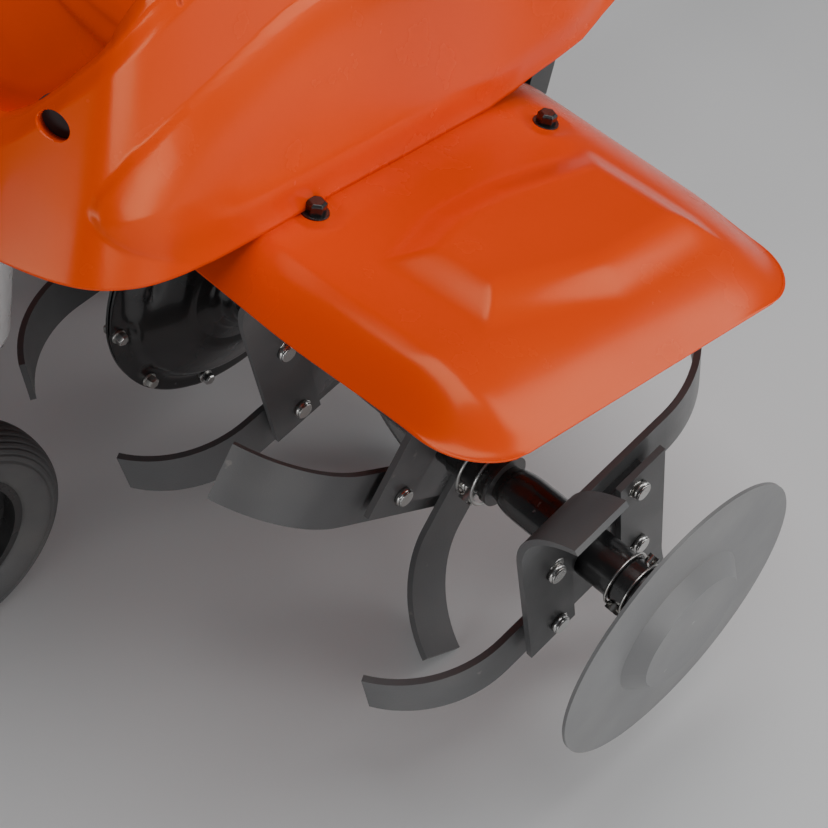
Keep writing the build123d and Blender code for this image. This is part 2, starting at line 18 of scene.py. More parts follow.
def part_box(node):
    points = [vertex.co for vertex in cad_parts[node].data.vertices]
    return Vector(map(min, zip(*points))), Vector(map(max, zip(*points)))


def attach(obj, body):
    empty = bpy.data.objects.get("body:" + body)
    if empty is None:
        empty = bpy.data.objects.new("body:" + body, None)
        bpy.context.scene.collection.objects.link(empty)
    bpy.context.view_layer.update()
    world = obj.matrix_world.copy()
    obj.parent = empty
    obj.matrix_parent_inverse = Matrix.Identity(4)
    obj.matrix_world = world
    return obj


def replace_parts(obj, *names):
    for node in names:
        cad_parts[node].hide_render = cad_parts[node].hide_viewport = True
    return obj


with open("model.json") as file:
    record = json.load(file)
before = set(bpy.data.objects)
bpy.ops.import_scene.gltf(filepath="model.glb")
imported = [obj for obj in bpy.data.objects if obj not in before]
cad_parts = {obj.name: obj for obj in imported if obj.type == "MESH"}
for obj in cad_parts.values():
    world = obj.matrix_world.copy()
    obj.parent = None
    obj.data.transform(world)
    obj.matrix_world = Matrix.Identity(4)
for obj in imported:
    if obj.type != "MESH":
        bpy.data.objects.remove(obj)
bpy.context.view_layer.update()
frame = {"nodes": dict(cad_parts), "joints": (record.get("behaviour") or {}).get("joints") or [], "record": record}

random.seed(7)
nodes = frame["nodes"]

# %% [markdown]
# ## Measuring in the machine's own level frame
# The machine stands nose-up on its transport wheel, so its deck and panels are all tilted. It is
# far easier to draw them level, in millimetres about the rotor shaft, and to tip each point once
# at the end. The tilt comes from the drag stake, which slides square to the deck, and the height
# comes from the middle of the rotor shaft.

# %% The level frame
MM = 0.001
slide = next(j for j in frame["joints"] if j["name"] == "stake_height")
TILT = math.atan2(-slide["axis"][0], slide["axis"][2])
shaft_low, shaft_high = (Vector(corner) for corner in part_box("rotor_shaft"))
AXLE = (shaft_low + shaft_high) / 2
TIP = Matrix.Translation(AXLE) @ Matrix.Rotation(-TILT, 4, "Y") @ Matrix.Scale(MM, 4)
SQUARE = Matrix.Translation(AXLE) @ Matrix.Scale(MM, 4)


def level(x, y, z):
    """A point of the level body, in millimetres about the rotor shaft, as a place in the scene."""
    return TIP @ Vector((x, y, z))


def about_shaft(x, y, z):
    """A point of the rotor, which isn't tipped, in millimetres about its shaft."""
    return SQUARE @ Vector((x, y, z))


print("tilt %.1f degrees, shaft at %.0f mm" % (math.degrees(TILT), AXLE.z / MM))

# %% [markdown]
# ## Small tools for a finish
# No real surface has one even colour. Paint drifts a little, rubber gets dusty and steel gets
# rubbed, and all of those can be drawn from a smooth noise. A painted texture would do it too, but
# it would need unwrapping. Three helpers are enough here: one makes the noise, one stretches it
# between two values, and one mixes two colours by it.

# %% Noise, spread and blend
def noise(tree, coordinates, scale, detail=3.0):
    """A smooth random value that changes over the piece."""
    node = tree.nodes.new("ShaderNodeTexNoise")
    node.inputs["Scale"].default_value = scale
    node.inputs["Detail"].default_value = detail
    tree.links.new(coordinates, node.inputs["Vector"])
    return node.outputs["Fac"]


def spread(tree, value, low, high, start=0.3, end=0.7):
    """Stretch a noise between two values."""
    node = tree.nodes.new("ShaderNodeMapRange")
    for socket, number in (("From Min", start), ("From Max", end), ("To Min", low), ("To Max", high)):
        node.inputs[socket].default_value = number
    tree.links.new(value, node.inputs["Value"])
    return node.outputs["Result"]


def blend_colour(tree, share, first, second):
    """Mix two colours, either of which may come from another node."""
    node = tree.nodes.new("ShaderNodeMix")
    node.data_type = "RGBA"
    tree.links.new(share, node.inputs["Factor"])
    for socket, colour in ((node.inputs[6], first), (node.inputs[7], second)):
        if isinstance(colour, tuple):
            socket.default_value = (*colour, 1.0)
        else:
            tree.links.new(colour, socket)
    return node.outputs[2]


print("noise, spread and blend ready")

# %% [markdown]
# ## One way to mix a finish
# Paint, rubber and zinc all need the same few things to stop looking like plastic: a slow drift
# of the colour, a fine grain that the light catches, gloss that varies a little, and rubbed or
# dusty places. Each could have its own node tree, but they would drift apart. So one function wires
# the noises to a Principled shader, and each finish below only says how strong they are. Object
# coordinates are used throughout, so nothing needs unwrapping.

# %% The finish mixer
def finish(name, colour, second, gloss, grain, metal=0.0, coat=0.0, drift=7.0,
           wear=((0.3, 0.3, 0.3), 0.0), dust=0.0, tint=(1.0, 1.0, 1.0)):
    """A Principled material: drifting colour, varied gloss, fine grain, rubbed spots and dust.

    colour and second are the two hues it drifts between, gloss its lowest and highest roughness,
    grain the fineness and strength of its bump, wear a rubbed colour and how much of it shows, and
    tint the colour of its reflections."""
    material = bpy.data.materials.new(name)
    material.use_nodes = True
    tree = material.node_tree
    shader = tree.nodes["Principled BSDF"]
    place = tree.nodes.new("ShaderNodeTexCoord").outputs["Object"]
    hue = blend_colour(tree, spread(tree, noise(tree, place, drift), 0.0, 1.0), colour, second)
    worn_colour, worn = wear
    if worn:
        spots = spread(tree, noise(tree, place, 60.0, 8.0), 0.0, 1.0, 0.72 - worn, 0.74)
        hue = blend_colour(tree, spots, hue, worn_colour)
    if dust:
        powder = spread(tree, noise(tree, place, 14.0, 6.0), 0.0, dust, 0.42, 0.8)
        hue = blend_colour(tree, powder, hue, (0.34, 0.3, 0.25))
    tree.links.new(hue, shader.inputs["Base Color"])
    rough = spread(tree, noise(tree, place, 22.0, 5.0), gloss[0], gloss[1])
    tree.links.new(rough, shader.inputs["Roughness"])
    shader.inputs["Metallic"].default_value = metal
    shader.inputs["Coat Weight"].default_value = coat
    shader.inputs["Coat Roughness"].default_value = 0.07
    shader.inputs["Specular Tint"].default_value = (*tint, 1.0)
    bump = tree.nodes.new("ShaderNodeBump")
    bump.inputs["Strength"].default_value = grain[1]
    bump.inputs["Distance"].default_value = 0.001
    tree.links.new(noise(tree, place, grain[0], 2.0), bump.inputs["Height"])
    tree.links.new(bump.outputs["Normal"], shader.inputs["Normal"])
    return material


print("finish mixer ready")

# %% [markdown]
# ## The finishes of the machine
# The big panels carry an orange gloss enamel. A strong clear coat would shine more, but its white
# reflections wash a bright orange out. So the coat is thin, and the enamel's own reflections are
# warmed by a tint, which keeps the highlights in the colour of the paint. The pressed steel of the
# drive is black, glossy on the case and tubes, and satin and scuffed on the tines that work in the
# soil. Fasteners are zinc plated, and the tyre is a dull carbon black with a little dust in it.

# %% Paints, metals, rubber and plastic
orange = finish("orange enamel", (0.96, 0.074, 0.0), (0.89, 0.061, 0.0), (0.2, 0.29), coat=0.05,
                grain=(260.0, 0.035), drift=4.0, tint=(1.0, 0.68, 0.36))
gloss_black = finish("gloss black enamel", (0.01, 0.01, 0.011), (0.016, 0.016, 0.017), (0.2, 0.32), coat=0.5,
                     grain=(420.0, 0.05), wear=((0.16, 0.16, 0.16), 0.015), dust=0.06)
satin_black = finish("satin black stove paint", (0.1, 0.101, 0.103), (0.125, 0.126, 0.128), (0.3, 0.44),
                     grain=(700.0, 0.12), wear=((0.2, 0.19, 0.18), 0.02), dust=0.08)
# The star plates have the same black enamel as the hub tubes. This lighter copy is painted sheen for the light
# that their flat sides catch, with a few real rubbed spots and dust.
plate_sheen_enamel = finish("plate enamel with painted sheen and scuffs", (0.12, 0.12, 0.122), (0.15, 0.15, 0.152), (0.26, 0.4), coat=0.3,
                     grain=(500.0, 0.06), wear=((0.25, 0.25, 0.25), 0.015), dust=0.06)
disc_grey = finish("satin grey disc paint", (0.17, 0.17, 0.173), (0.2, 0.2, 0.202), (0.34, 0.46),
                   grain=(800.0, 0.06), wear=((0.4, 0.4, 0.4), 0.01), dust=0.08)
zinc = finish("zinc plate", (0.66, 0.66, 0.65), (0.54, 0.53, 0.5), (0.2, 0.36), metal=1.0,
              grain=(1400.0, 0.06), drift=60.0, dust=0.08)
alloy = finish("die cast alloy", (0.45, 0.46, 0.47), (0.38, 0.39, 0.4), (0.4, 0.55), metal=0.9,
               grain=(900.0, 0.25), dust=0.12)
plastic = finish("fine grained black plastic", (0.02, 0.02, 0.022), (0.028, 0.028, 0.03), (0.42, 0.56),
                 grain=(2200.0, 0.2), dust=0.1)
gloss_plastic = finish("moulded rim plastic", (0.016, 0.016, 0.018), (0.024, 0.024, 0.026), (0.22, 0.34),
                       grain=(900.0, 0.05), dust=0.08)
tyre_rubber = finish("tyre rubber", (0.06, 0.06, 0.062), (0.08, 0.08, 0.082), (0.42, 0.6),
                     grain=(1100.0, 0.25), dust=0.16)
grip_rubber = finish("soft grip rubber", (0.018, 0.018, 0.02), (0.026, 0.026, 0.028), (0.6, 0.78),
                     grain=(1800.0, 0.3), dust=0.05)
chrome = finish("polished heat shield", (0.74, 0.73, 0.71), (0.6, 0.57, 0.52), (0.12, 0.26), metal=1.0,
                grain=(1000.0, 0.04), drift=18.0)

print("finishes mixed, from", orange.name, "to", chrome.name)

# %% [markdown]
# ## A finish for every solid piece
# The record names a material slot for each solid piece. The finishes could be given out by hand,
# piece by piece, but a table from slot to finish can't miss one. The finer pieces further down name
# their own finish, and the fan shroud, the tank and the pivot block are painted steel.

# %% Give each solid its finish
FINISH_OF_SLOT = {
    "orange_paint": orange, "black_paint": gloss_black, "tine_steel": satin_black, "disc_grey": disc_grey,
    "bright_steel": zinc, "cast_alloy": alloy, "black_plastic": plastic, "tyre_rubber": tyre_rubber,
    "rim_plastic": gloss_plastic, "grip_rubber": grip_rubber, "chrome": chrome,
}
for part in frame["record"]["subparts"]:
    piece = nodes[part["node"]]
    piece.data.materials.clear()
    piece.data.materials.append(FINISH_OF_SLOT[part["material_slot"]])

# %% [markdown]
# ## Sheets from rows of points
# A pressed panel is a smooth sheet. It could be sculpted or cut from a block, but then its faces
# would run in every direction, and glossy paint shows that. Here it is drawn as rows of points
# joined by four-sided faces, which keep the highlights flowing evenly. Every piece then goes into
# the scene in the same way: with its finish and the body that it rides on.

# %% Pieces from points
def add_piece(name, mesh, material, body):
    """Put a finished mesh into the scene as one painted piece that rides on a body."""
    mesh.materials.append(material)
    made = bpy.data.objects.new(name, mesh)
    bpy.context.scene.collection.objects.link(made)
    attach(made, body)
    return made


def piece_from(name, points, faces, material, body):
    """A smooth piece straight from its points and faces."""
    mesh = bpy.data.meshes.new(name)
    mesh.from_pydata([tuple(p) for p in points], [], faces)
    mesh.polygons.foreach_set("use_smooth", [True] * len(mesh.polygons))
    return add_piece(name, mesh, material, body)


def sheet_faces(rows, columns, keep=lambda row, column: True):
    """Quads between neighbouring rows and columns."""
    faces = []
    for row in range(rows - 1):
        for column in range(columns - 1):
            if keep(row, column):
                a = row * columns + column
                faces.append((a, a + 1, a + columns + 1, a + columns))
    return faces


print("piece helpers ready")

# %% [markdown]
# ## Clean sheets with a thickness
# A pressed sheet has one outside, a clean edge and the same thickness all over. Faces drawn in rows
# can end up looking either way, and two halves that meet have their seam points twice. Both could be
# mended by hand in Edit Mode. Here bmesh does it, and a solidify modifier gives the thickness, so
# that the sheet itself stays a simple row of quads.

# %% Turn, weld and thicken
def face_outwards(made, shows_inside=lambda faces: False):
    """Point all the faces one way, and turn an open sheet over where it shows its inside."""
    bm = bmesh.new()
    bm.from_mesh(made.data)
    bmesh.ops.recalc_face_normals(bm, faces=bm.faces)
    if shows_inside(bm.faces):
        bmesh.ops.reverse_faces(bm, faces=bm.faces)
    bm.to_mesh(made.data)
    bm.free()


def weld(made, reach):
    """Join points that lie on each other, and point the faces outwards."""
    bm = bmesh.new()
    bm.from_mesh(made.data)
    bmesh.ops.remove_doubles(bm, verts=bm.verts, dist=reach)
    bmesh.ops.recalc_face_normals(bm, faces=bm.faces)
    bm.to_mesh(made.data)
    bm.free()


def thicken(made, thickness):
    """Give a sheet its thickness, inwards from the face that shows."""
    solidify = made.modifiers.new("sheet thickness", "SOLIDIFY")
    solidify.thickness = thickness * MM
    solidify.offset = -1.0


print("sheet helpers ready")

# %% [markdown]
# ## Reading a drawn line
# Many forms on the machine follow a line that is easiest to give as a few measured pairs, such as
# the height of the cover's ridge along its length. A curve object could carry it, but a table can be
# read at any place. A soft step then joins two levels the way that a press leaves them, with no
# sharp corner.

# %% Tables and soft steps
def between(table, at):
    """Straight-line reading of a table of (at, value) pairs."""
    if at <= table[0][0]:
        return table[0][1]
    for (a, low), (b, high) in zip(table, table[1:]):
        if at <= b:
            return low + (high - low) * (at - a) / (b - a)
    return table[-1][1]


def ease(share):
    """A soft step from nought to one."""
    share = min(1.0, max(0.0, share))
    return share * share * (3.0 - 2.0 * share)


print("half way up a soft step:", ease(0.5))

# %% [markdown]
# ## The fenders
# Each fender is one pressed sheet over half of the tines, a little narrower at its outer end and with
# rounded corners there. A flat plane could be trimmed to that outline, but its faces would be cut
# across. The two ends and the outer edge are given as lines instead, and the grid is stretched
# between them, so its rows run along the edge.

# %% Fender outline
FENDER_REAR, FENDER_FRONT = -181.0, 187.0
FENDER_INSIDE, FENDER_OUTSIDE = 121.0, 390.0
FENDER_ROUND, ROUND_IN = 49.0, 7.0
REAR_TAPER, REAR_FROM, REAR_OVER = 7.0, 270.0, 80.0
FRONT_TAPER, FRONT_FROM, FRONT_OVER = 7.5, 215.0, 130.0


def fender_ends(y):
    """The rear and front edge at a distance from the middle, drawn in round the outer corners."""
    into = max(0.0, y - (FENDER_OUTSIDE - FENDER_ROUND))
    pull = FENDER_ROUND - math.sqrt(max(0.0, FENDER_ROUND ** 2 - into ** 2))
    rear = FENDER_REAR + REAR_TAPER * ease((y - REAR_FROM) / REAR_OVER) + pull
    front = FENDER_FRONT - FRONT_TAPER * ease((y - FRONT_FROM) / FRONT_OVER) - pull
    return rear, front


def fender_outside(x):
    """The outer edge at a place along the fender, drawn in round the same corners."""
    front_round = FENDER_FRONT - ROUND_IN - FENDER_ROUND
    rear_round = FENDER_REAR + ROUND_IN + FENDER_ROUND
    into = max(0.0, x - front_round, rear_round - x)
    into = min(into, FENDER_ROUND)
    return FENDER_OUTSIDE - FENDER_ROUND + math.sqrt(FENDER_ROUND ** 2 - into ** 2)


print("fender from %.0f to %.0f mm at its inner edge" % fender_ends(FENDER_INSIDE))

# %% [markdown]
# ## How high the fender stands
# The fender's rim stands a little way down, the sides lean in to a rounded shoulder, and a raised
# field in the middle stiffens it. Two bolts hold it to the deck, each in its own shallow seat. These
# forms could be modelled one by one and blended, but on a pressing they flow into each other. So one
# function works out the height at any place, from how far that place is from each edge.

# %% Fender heights
LIP_Z, RISE = 173.0, 29.2
FENDER_BOLTS = ((108.0, 171.0), (-114.0, 180.0))
FIELD = ((87.0, 246.0), (42.0, 231.0), (-8.0, 229.0), (-94.0, 240.0), (-99.0, 320.0), (-10.0, 322.0),
         (80.0, 300.0))
FIELD_RISE, FIELD_SLOPE, FIELD_SPILL = 10.5, 36.0, 24.0
FRONT_SLOPE, SIDE_SLOPE = 20.0, 46.0
BOLT_SEAT_DEPTH, BOLT_SEAT_R, BOLT_SEAT_SLOPE = 1.7, 13.0, 9.0


def rolled_edge(distance, width, roll):
    """A straight slope that rolls over softly onto the flat top."""
    share = max(0.0, distance) / width
    closeness = max(roll - abs(share - 1.0), 0.0) / roll
    return min(share, 1.0) - closeness * closeness * roll / 4.0


def inside_distance(corners, x, y):
    """How deep a place lies inside a convex outline, less than nought outside it."""
    nearest = 1e9
    for (x0, y0), (x1, y1) in zip(corners, corners[1:] + corners[:1]):
        length = math.hypot(x1 - x0, y1 - y0)
        nearest = min(nearest, ((y1 - y0) * (x - x0) - (x1 - x0) * (y - y0)) / length)
    return nearest


def fender_height(x, y):
    """The sheet's height: sloping sides, a raised field in the middle and two bolt seats."""
    rear, front = fender_ends(y)
    rise = (rolled_edge(front - x, FRONT_SLOPE, 0.9) * rolled_edge(x - rear, SIDE_SLOPE, 0.8)
            * rolled_edge(fender_outside(x) - y, SIDE_SLOPE, 0.7))
    field = ease((inside_distance(FIELD, x, y) + FIELD_SPILL) / FIELD_SLOPE)
    height = LIP_Z + RISE * rise + FIELD_RISE * field
    for bolt_x, bolt_y in FENDER_BOLTS:
        away = math.hypot(x - bolt_x, y - bolt_y)
        height -= BOLT_SEAT_DEPTH * (1.0 - ease((away - BOLT_SEAT_R) / BOLT_SEAT_SLOPE))
    return height


print("fender height in the middle: %.1f mm" % fender_height(0.0, 270.0))

# %% [markdown]
# ## The fender sheets
# The heights are now read over a grid of rows and columns, closer together at the edges, where the
# sheet bends most. A short skirt is added round the three free edges and turned in a little, which
# gives the rim of a pressed sheet its soft line of light. The right fender is the same sheet
# mirrored.

# %% Fender sheets
SKIRT, FENDER_THICK = 1.2, 2.2


def fender_sheet(side):
    """One fender: a grid of heights, closer spaced at its edges, with a short turned-down skirt."""
    rows, columns = 90, 120
    points = []
    for row in range(rows):
        share = math.sin(math.pi / 2 * row / (rows - 1)) * 0.6 + 0.4 * row / (rows - 1)
        y = FENDER_INSIDE + (FENDER_OUTSIDE - FENDER_INSIDE) * share
        rear, front = fender_ends(y)
        for column in range(columns):
            across = 0.5 - 0.5 * math.cos(math.pi * column / (columns - 1))
            across = 0.55 * across + 0.45 * column / (columns - 1)
            x = rear + (front - rear) * across
            points.append((x, y, fender_height(x, y)))
    rim = [r * columns for r in range(rows)]
    rim += [(rows - 1) * columns + c for c in range(1, columns)]
    rim += [r * columns + columns - 1 for r in range(rows - 2, -1, -1)]
    faces = sheet_faces(rows, columns)
    middle = Vector(((FENDER_REAR + FENDER_FRONT) / 2, (FENDER_INSIDE + FENDER_OUTSIDE) / 2))
    last = rim
    for drop, draw_in in ((0.5, -0.3), (SKIRT, 0.0), (SKIRT + 0.4, 0.9)):
        ring = []
        for index in rim:
            x, y, z = points[index]
            inward = (middle - Vector((x, y))).normalized() * draw_in
            points.append((x + inward.x, y + inward.y if y > FENDER_INSIDE + 1 else y, z - drop))
            ring.append(len(points) - 1)
        for a, b, c, d in zip(last, last[1:], ring[1:], ring):
            faces.append((a, b, c, d))
        last = ring
    toward = 1 if side == "left" else -1
    placed = [level(x, toward * y, z) for x, y, z in points]
    if toward < 0:
        faces = [tuple(reversed(face)) for face in faces]
    fender = piece_from(f"fender_sheet_{side}", placed, faces, orange, "body")
    face_outwards(fender, lambda faces: max(faces, key=lambda f: f.calc_center_median().z).normal.z < 0)
    thicken(fender, FENDER_THICK)
    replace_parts(fender, f"fender_{side}")
    return fender


fenders = [fender_sheet(side) for side in ("left", "right")]
print("fender quads:", len(fenders[0].data.polygons))

# %% [markdown]
# ## The front cover
# The cover is one deep glossy moulding that reaches from the nose back over the engine bay. Its
# walls lean in as they rise to a crisp ridge, inside which the top is sunk. It could be carved from
# a block with cuts and bevels, but long highlights show every uneven place. Going round the outline
# in plan and up the wall in rows gives a sheet whose bottom edge, ridge and sunken top run true.

# %% Cover outline and heights
COVER_BASE = 202.4
PLAN = ((-230.0, 166.0), (-160.0, 158.0), (-87.0, 149.5), (17.0, 158.0), (105.0, 166.0), (158.0, 172.0),
        (207.0, 176.5), (240.0, 175.5), (262.0, 169.5), (281.0, 157.5), (296.0, 137.5), (308.0, 109.5),
        (318.0, 78.0), (325.0, 40.0), (327.0, 0.0))
BOTTOM = ((-230.0, 72.0), (-205.0, 53.0), (-175.0, 33.0), (-135.0, 18.5), (-110.0, 8.5), (-84.0, 1.6),
          (-60.0, 0.2), (330.0, 0.0))
RIDGE = ((-230.0, 142.0), (-150.0, 173.0), (-60.0, 199.0), (90.0, 199.0), (150.0, 187.0), (200.0, 172.0),
         (230.0, 160.0), (244.0, 150.5), (259.0, 135.5), (272.0, 117.0), (279.0, 104.0), (289.0, 86.0),
         (296.0, 76.0), (312.0, 66.0), (334.0, 62.0))
DRAFT = math.tan(math.radians(15.0))
OUTLINE_POINTS, CURVE_STEPS = 250, 12


def smooth_line(points, count):
    """Evenly spaced points along a smooth curve through a few given ones."""
    curve = []
    for index in range(len(points) - 1):
        p0 = points[max(0, index - 1)]
        p1, p2 = points[index], points[index + 1]
        p3 = points[min(len(points) - 1, index + 2)]
        for step in range(CURVE_STEPS):
            t = step / CURVE_STEPS
            curve.append(tuple(0.5 * (2 * b + (c - a) * t + (2 * a - 5 * b + 4 * c - d) * t * t
                                      + (3 * b - a - 3 * c + d) * t ** 3)
                               for a, b, c, d in zip(p0, p1, p2, p3)))
    curve.append(points[-1])
    lengths = [0.0]
    for a, b in zip(curve, curve[1:]):
        lengths.append(lengths[-1] + math.dist(a, b))
    spaced = []
    at = 0
    for index in range(count):
        want = lengths[-1] * index / (count - 1)
        while at < len(lengths) - 2 and lengths[at + 1] < want:
            at += 1
        share = (want - lengths[at]) / (lengths[at + 1] - lengths[at])
        spaced.append(tuple(a + (b - a) * share for a, b in zip(curve[at], curve[at + 1])))
    return spaced


plan_line = smooth_line(PLAN, OUTLINE_POINTS)
print("cover outline points:", len(plan_line))

# %% [markdown]
# ## The panel on the cover's side
# A full, rounded panel swells out of each side of the cover, with a small crisp step at its edge. It
# could be a second sheet laid on the first, but then the two would have to be joined. It is drawn as
# an outline on the side instead, and every point of the wall inside that outline is pushed out, more
# so the deeper inside it lies.

# %% The side panel
PANEL_STEP, PANEL_EDGE, PANEL_SWELL, PANEL_ROUND = 1.6, 3.2, 7.0, 46.0
PANEL_FADE, PANEL_LEAST = 34.0, 0.15
PANEL = ((111.0, 133.5), (148.0, 124.5), (186.0, 111.5), (209.0, 104.0), (232.0, 93.5), (252.0, 81.5),
         (263.0, 69.0), (271.0, 58.0), (274.0, 50.0), (275.0, 45.0), (273.0, 37.5), (267.0, 30.0),
         (258.0, 23.0), (246.0, 16.0), (229.0, 9.0), (204.0, -3.0), (120.0, -40.0), (-120.0, -60.0),
         (-195.0, 20.0), (-196.0, 110.0), (-120.0, 134.0), (20.0, 142.0))


def swell(x, height, bottom):
    """How far the side panel stands out: a small crisp step, then a full round swell."""
    depth = inside_distance(PANEL, x, height)
    if depth <= 0.0:
        return 0.0
    lift = PANEL_LEAST + (1.0 - PANEL_LEAST) * ease((height - bottom) / PANEL_FADE)
    round_share = 1.0 - (1.0 - min(1.0, depth / PANEL_ROUND)) ** 2
    return (PANEL_STEP * ease(depth / PANEL_EDGE) + PANEL_SWELL * round_share) * lift


print("panel stands out by %.1f mm" % swell(100.0, 80.0, 0.0))

# %% [markdown]
# ## One column of the cover
# The cover is worked out column by column. Each column starts at the bottom edge, climbs the leaning
# wall, rolls over the ridge and drops to the sunken top, and then runs in to the engine's opening.
# A column could be bent by hand, but here the same few lines serve them all, so neighbouring ones
# always match and the light runs on from one to the next.

# %% Cover columns
ENGINE_HALF = 90.0
ENGINE_FRONT = 120.0
WALL_ROWS, TOP_STEPS, MIDDLE_STEPS = 76, 4, 8
RIM_WIDTH = 10.0
SUNK = 12.0
RIM = ((2.0, 1.6), (5.0, 2.4), (RIM_WIDTH - 0.8, 3.2), (RIM_WIDTH, 3.0), (RIM_WIDTH + 0.8, 2.2),
       (RIM_WIDTH + 2.5, -SUNK * 0.5), (RIM_WIDTH + 4.5, -SUNK), (RIM_WIDTH + 9.0, -SUNK - 0.6))
TOP_FRONT = 262.0


def cover_column(index):
    """The points of one column, from the bottom edge up the wall, over the ridge and inwards."""
    x, y = plan_line[index]
    before = plan_line[max(0, index - 1)]
    after = plan_line[min(len(plan_line) - 1, index + 1)]
    along = Vector((after[0] - before[0], after[1] - before[1])).normalized()
    outward = Vector((-along.y, along.x))
    if index == len(plan_line) - 1:
        outward = Vector((1.0, 0.0))
    elif outward.y < 0 and y > 60:
        outward = -outward
    outward = Vector((abs(outward.x) if x > 210 else outward.x, abs(outward.y)))
    bottom = between(BOTTOM, x)
    ridge = between(RIDGE, x)
    for _ in range(4):
        ridge = between(RIDGE, x - outward.x * ridge * DRAFT)
    column = []
    for row in range(WALL_ROWS):
        height = bottom + (ridge - bottom) * row / (WALL_ROWS - 1)
        lean = height * DRAFT + 3.0 * ease((height - ridge + 14.0) / 14.0)
        spot = Vector((x, y)) - outward * lean
        spot += outward * swell(spot.x, height, bottom) * ease((y - 20.0) / 60.0)
        column.append((spot.x, spot.y, COVER_BASE + height))
    ridge_x, ridge_y, ridge_z = column[-1]
    for inward, lift in RIM:
        column.append((ridge_x - outward.x * inward, max(0.0, ridge_y - outward.y * inward), ridge_z + lift))
    foot_x, foot_y, foot_z = column[-1]
    goal_x = min(foot_x, TOP_FRONT)
    goal_z = COVER_BASE + between(RIDGE, goal_x) - SUNK + 3.0
    top_edge = ENGINE_HALF if goal_x < ENGINE_FRONT else min(foot_y, ENGINE_HALF)
    stops = [foot_y + (top_edge - foot_y) * step / TOP_STEPS for step in range(1, TOP_STEPS + 1)]
    stops += [stops[-1] * (1 - step / MIDDLE_STEPS) for step in range(1, MIDDLE_STEPS + 1)]
    for stop in stops:
        share = ease(1 - stop / foot_y if foot_y > 1 else 1.0)
        column.append((foot_x + (goal_x - foot_x) * share, stop, foot_z + (goal_z - foot_z) * share))
    return column


columns = [cover_column(index) for index in range(len(plan_line))]
height_count = len(columns[0])
print("cover columns:", len(columns), "with", height_count, "points each")

# %% [markdown]
# ## The cover sheet
# The columns become one half of the cover, and the other half is its mirror image, welded to it along
# the middle. A mirror modifier would do the same, but the ports are cut through the finished mesh in
# the next step. The faces over the engine are left out, because the engine comes up through them.

# %% Cover sheet
open_rows = WALL_ROWS + len(RIM) + TOP_STEPS


def cover_half_points(toward):
    """All points of one half of the cover, row after row."""
    return [level(columns[c][r][0], toward * columns[c][r][1], columns[c][r][2])
            for r in range(height_count) for c in range(len(columns))]


def over_engine(row, column):
    """Whether a face lies over the engine, where the cover is open."""
    return row >= open_rows - 1 and columns[column + 1][-1][0] <= ENGINE_FRONT


cover_points = cover_half_points(1) + cover_half_points(-1)
half_faces = sheet_faces(height_count, len(columns), lambda r, c: not over_engine(r, c))
shift = height_count * len(columns)
cover_faces = half_faces + [tuple(shift + i for i in reversed(face)) for face in half_faces]
cover = piece_from("front_cover_sheet", cover_points, cover_faces, orange, "body")
weld(cover, 0.0004)
face_outwards(cover, lambda faces: max(faces, key=lambda f: f.calc_center_median().x).normal.x < 0)
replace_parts(cover, "front_cover")
print("cover quads:", len(cover.data.polygons))

# %% [markdown]
# ## The nose ports
# An oval port passes through each side of the nose and looks forwards, outwards and up. It could be
# cut with a boolean, but that leaves long thin faces that crease the paint. So it is given by its
# place, the way it points and two directions across it, and the sheet is split along them.

# %% Where the ports are
PORT_AT = (279.4, 114.2, 292.0)
PORT_R = (11.4, 7.5)
PORT_AIM = Vector((0.4263, 0.4307, 0.7955))
PORT_TURN = math.radians(37)
PORT_SIDE = PORT_AIM.cross(Vector((0.0, 0.0, -1.0))).normalized()
PORT_DOWN = PORT_SIDE.cross(PORT_AIM)
PORT_ACROSS = PORT_SIDE * math.cos(PORT_TURN) + PORT_DOWN * math.sin(PORT_TURN)
PORT_ALONG = PORT_DOWN * math.cos(PORT_TURN) - PORT_SIDE * math.sin(PORT_TURN)
print("port turned by %.0f degrees" % math.degrees(PORT_TURN))

# %% [markdown]
# ## Cutting a port
# Flat cuts all round the port split the sheet along the oval without moving any of its points, so
# the paint still flows cleanly up to the hole. The faces inside are then taken out, and the cut edge
# is turned inwards as a short sleeve. This is done before the sheet gets its thickness, so that the
# sleeve gets it too.

# %% Cut a port
PORT_SIDES, SLEEVE = 28, 9.0
PORT_SEARCH, PORT_REACH, PORT_DEPTH = 12, 17.0, 11.0


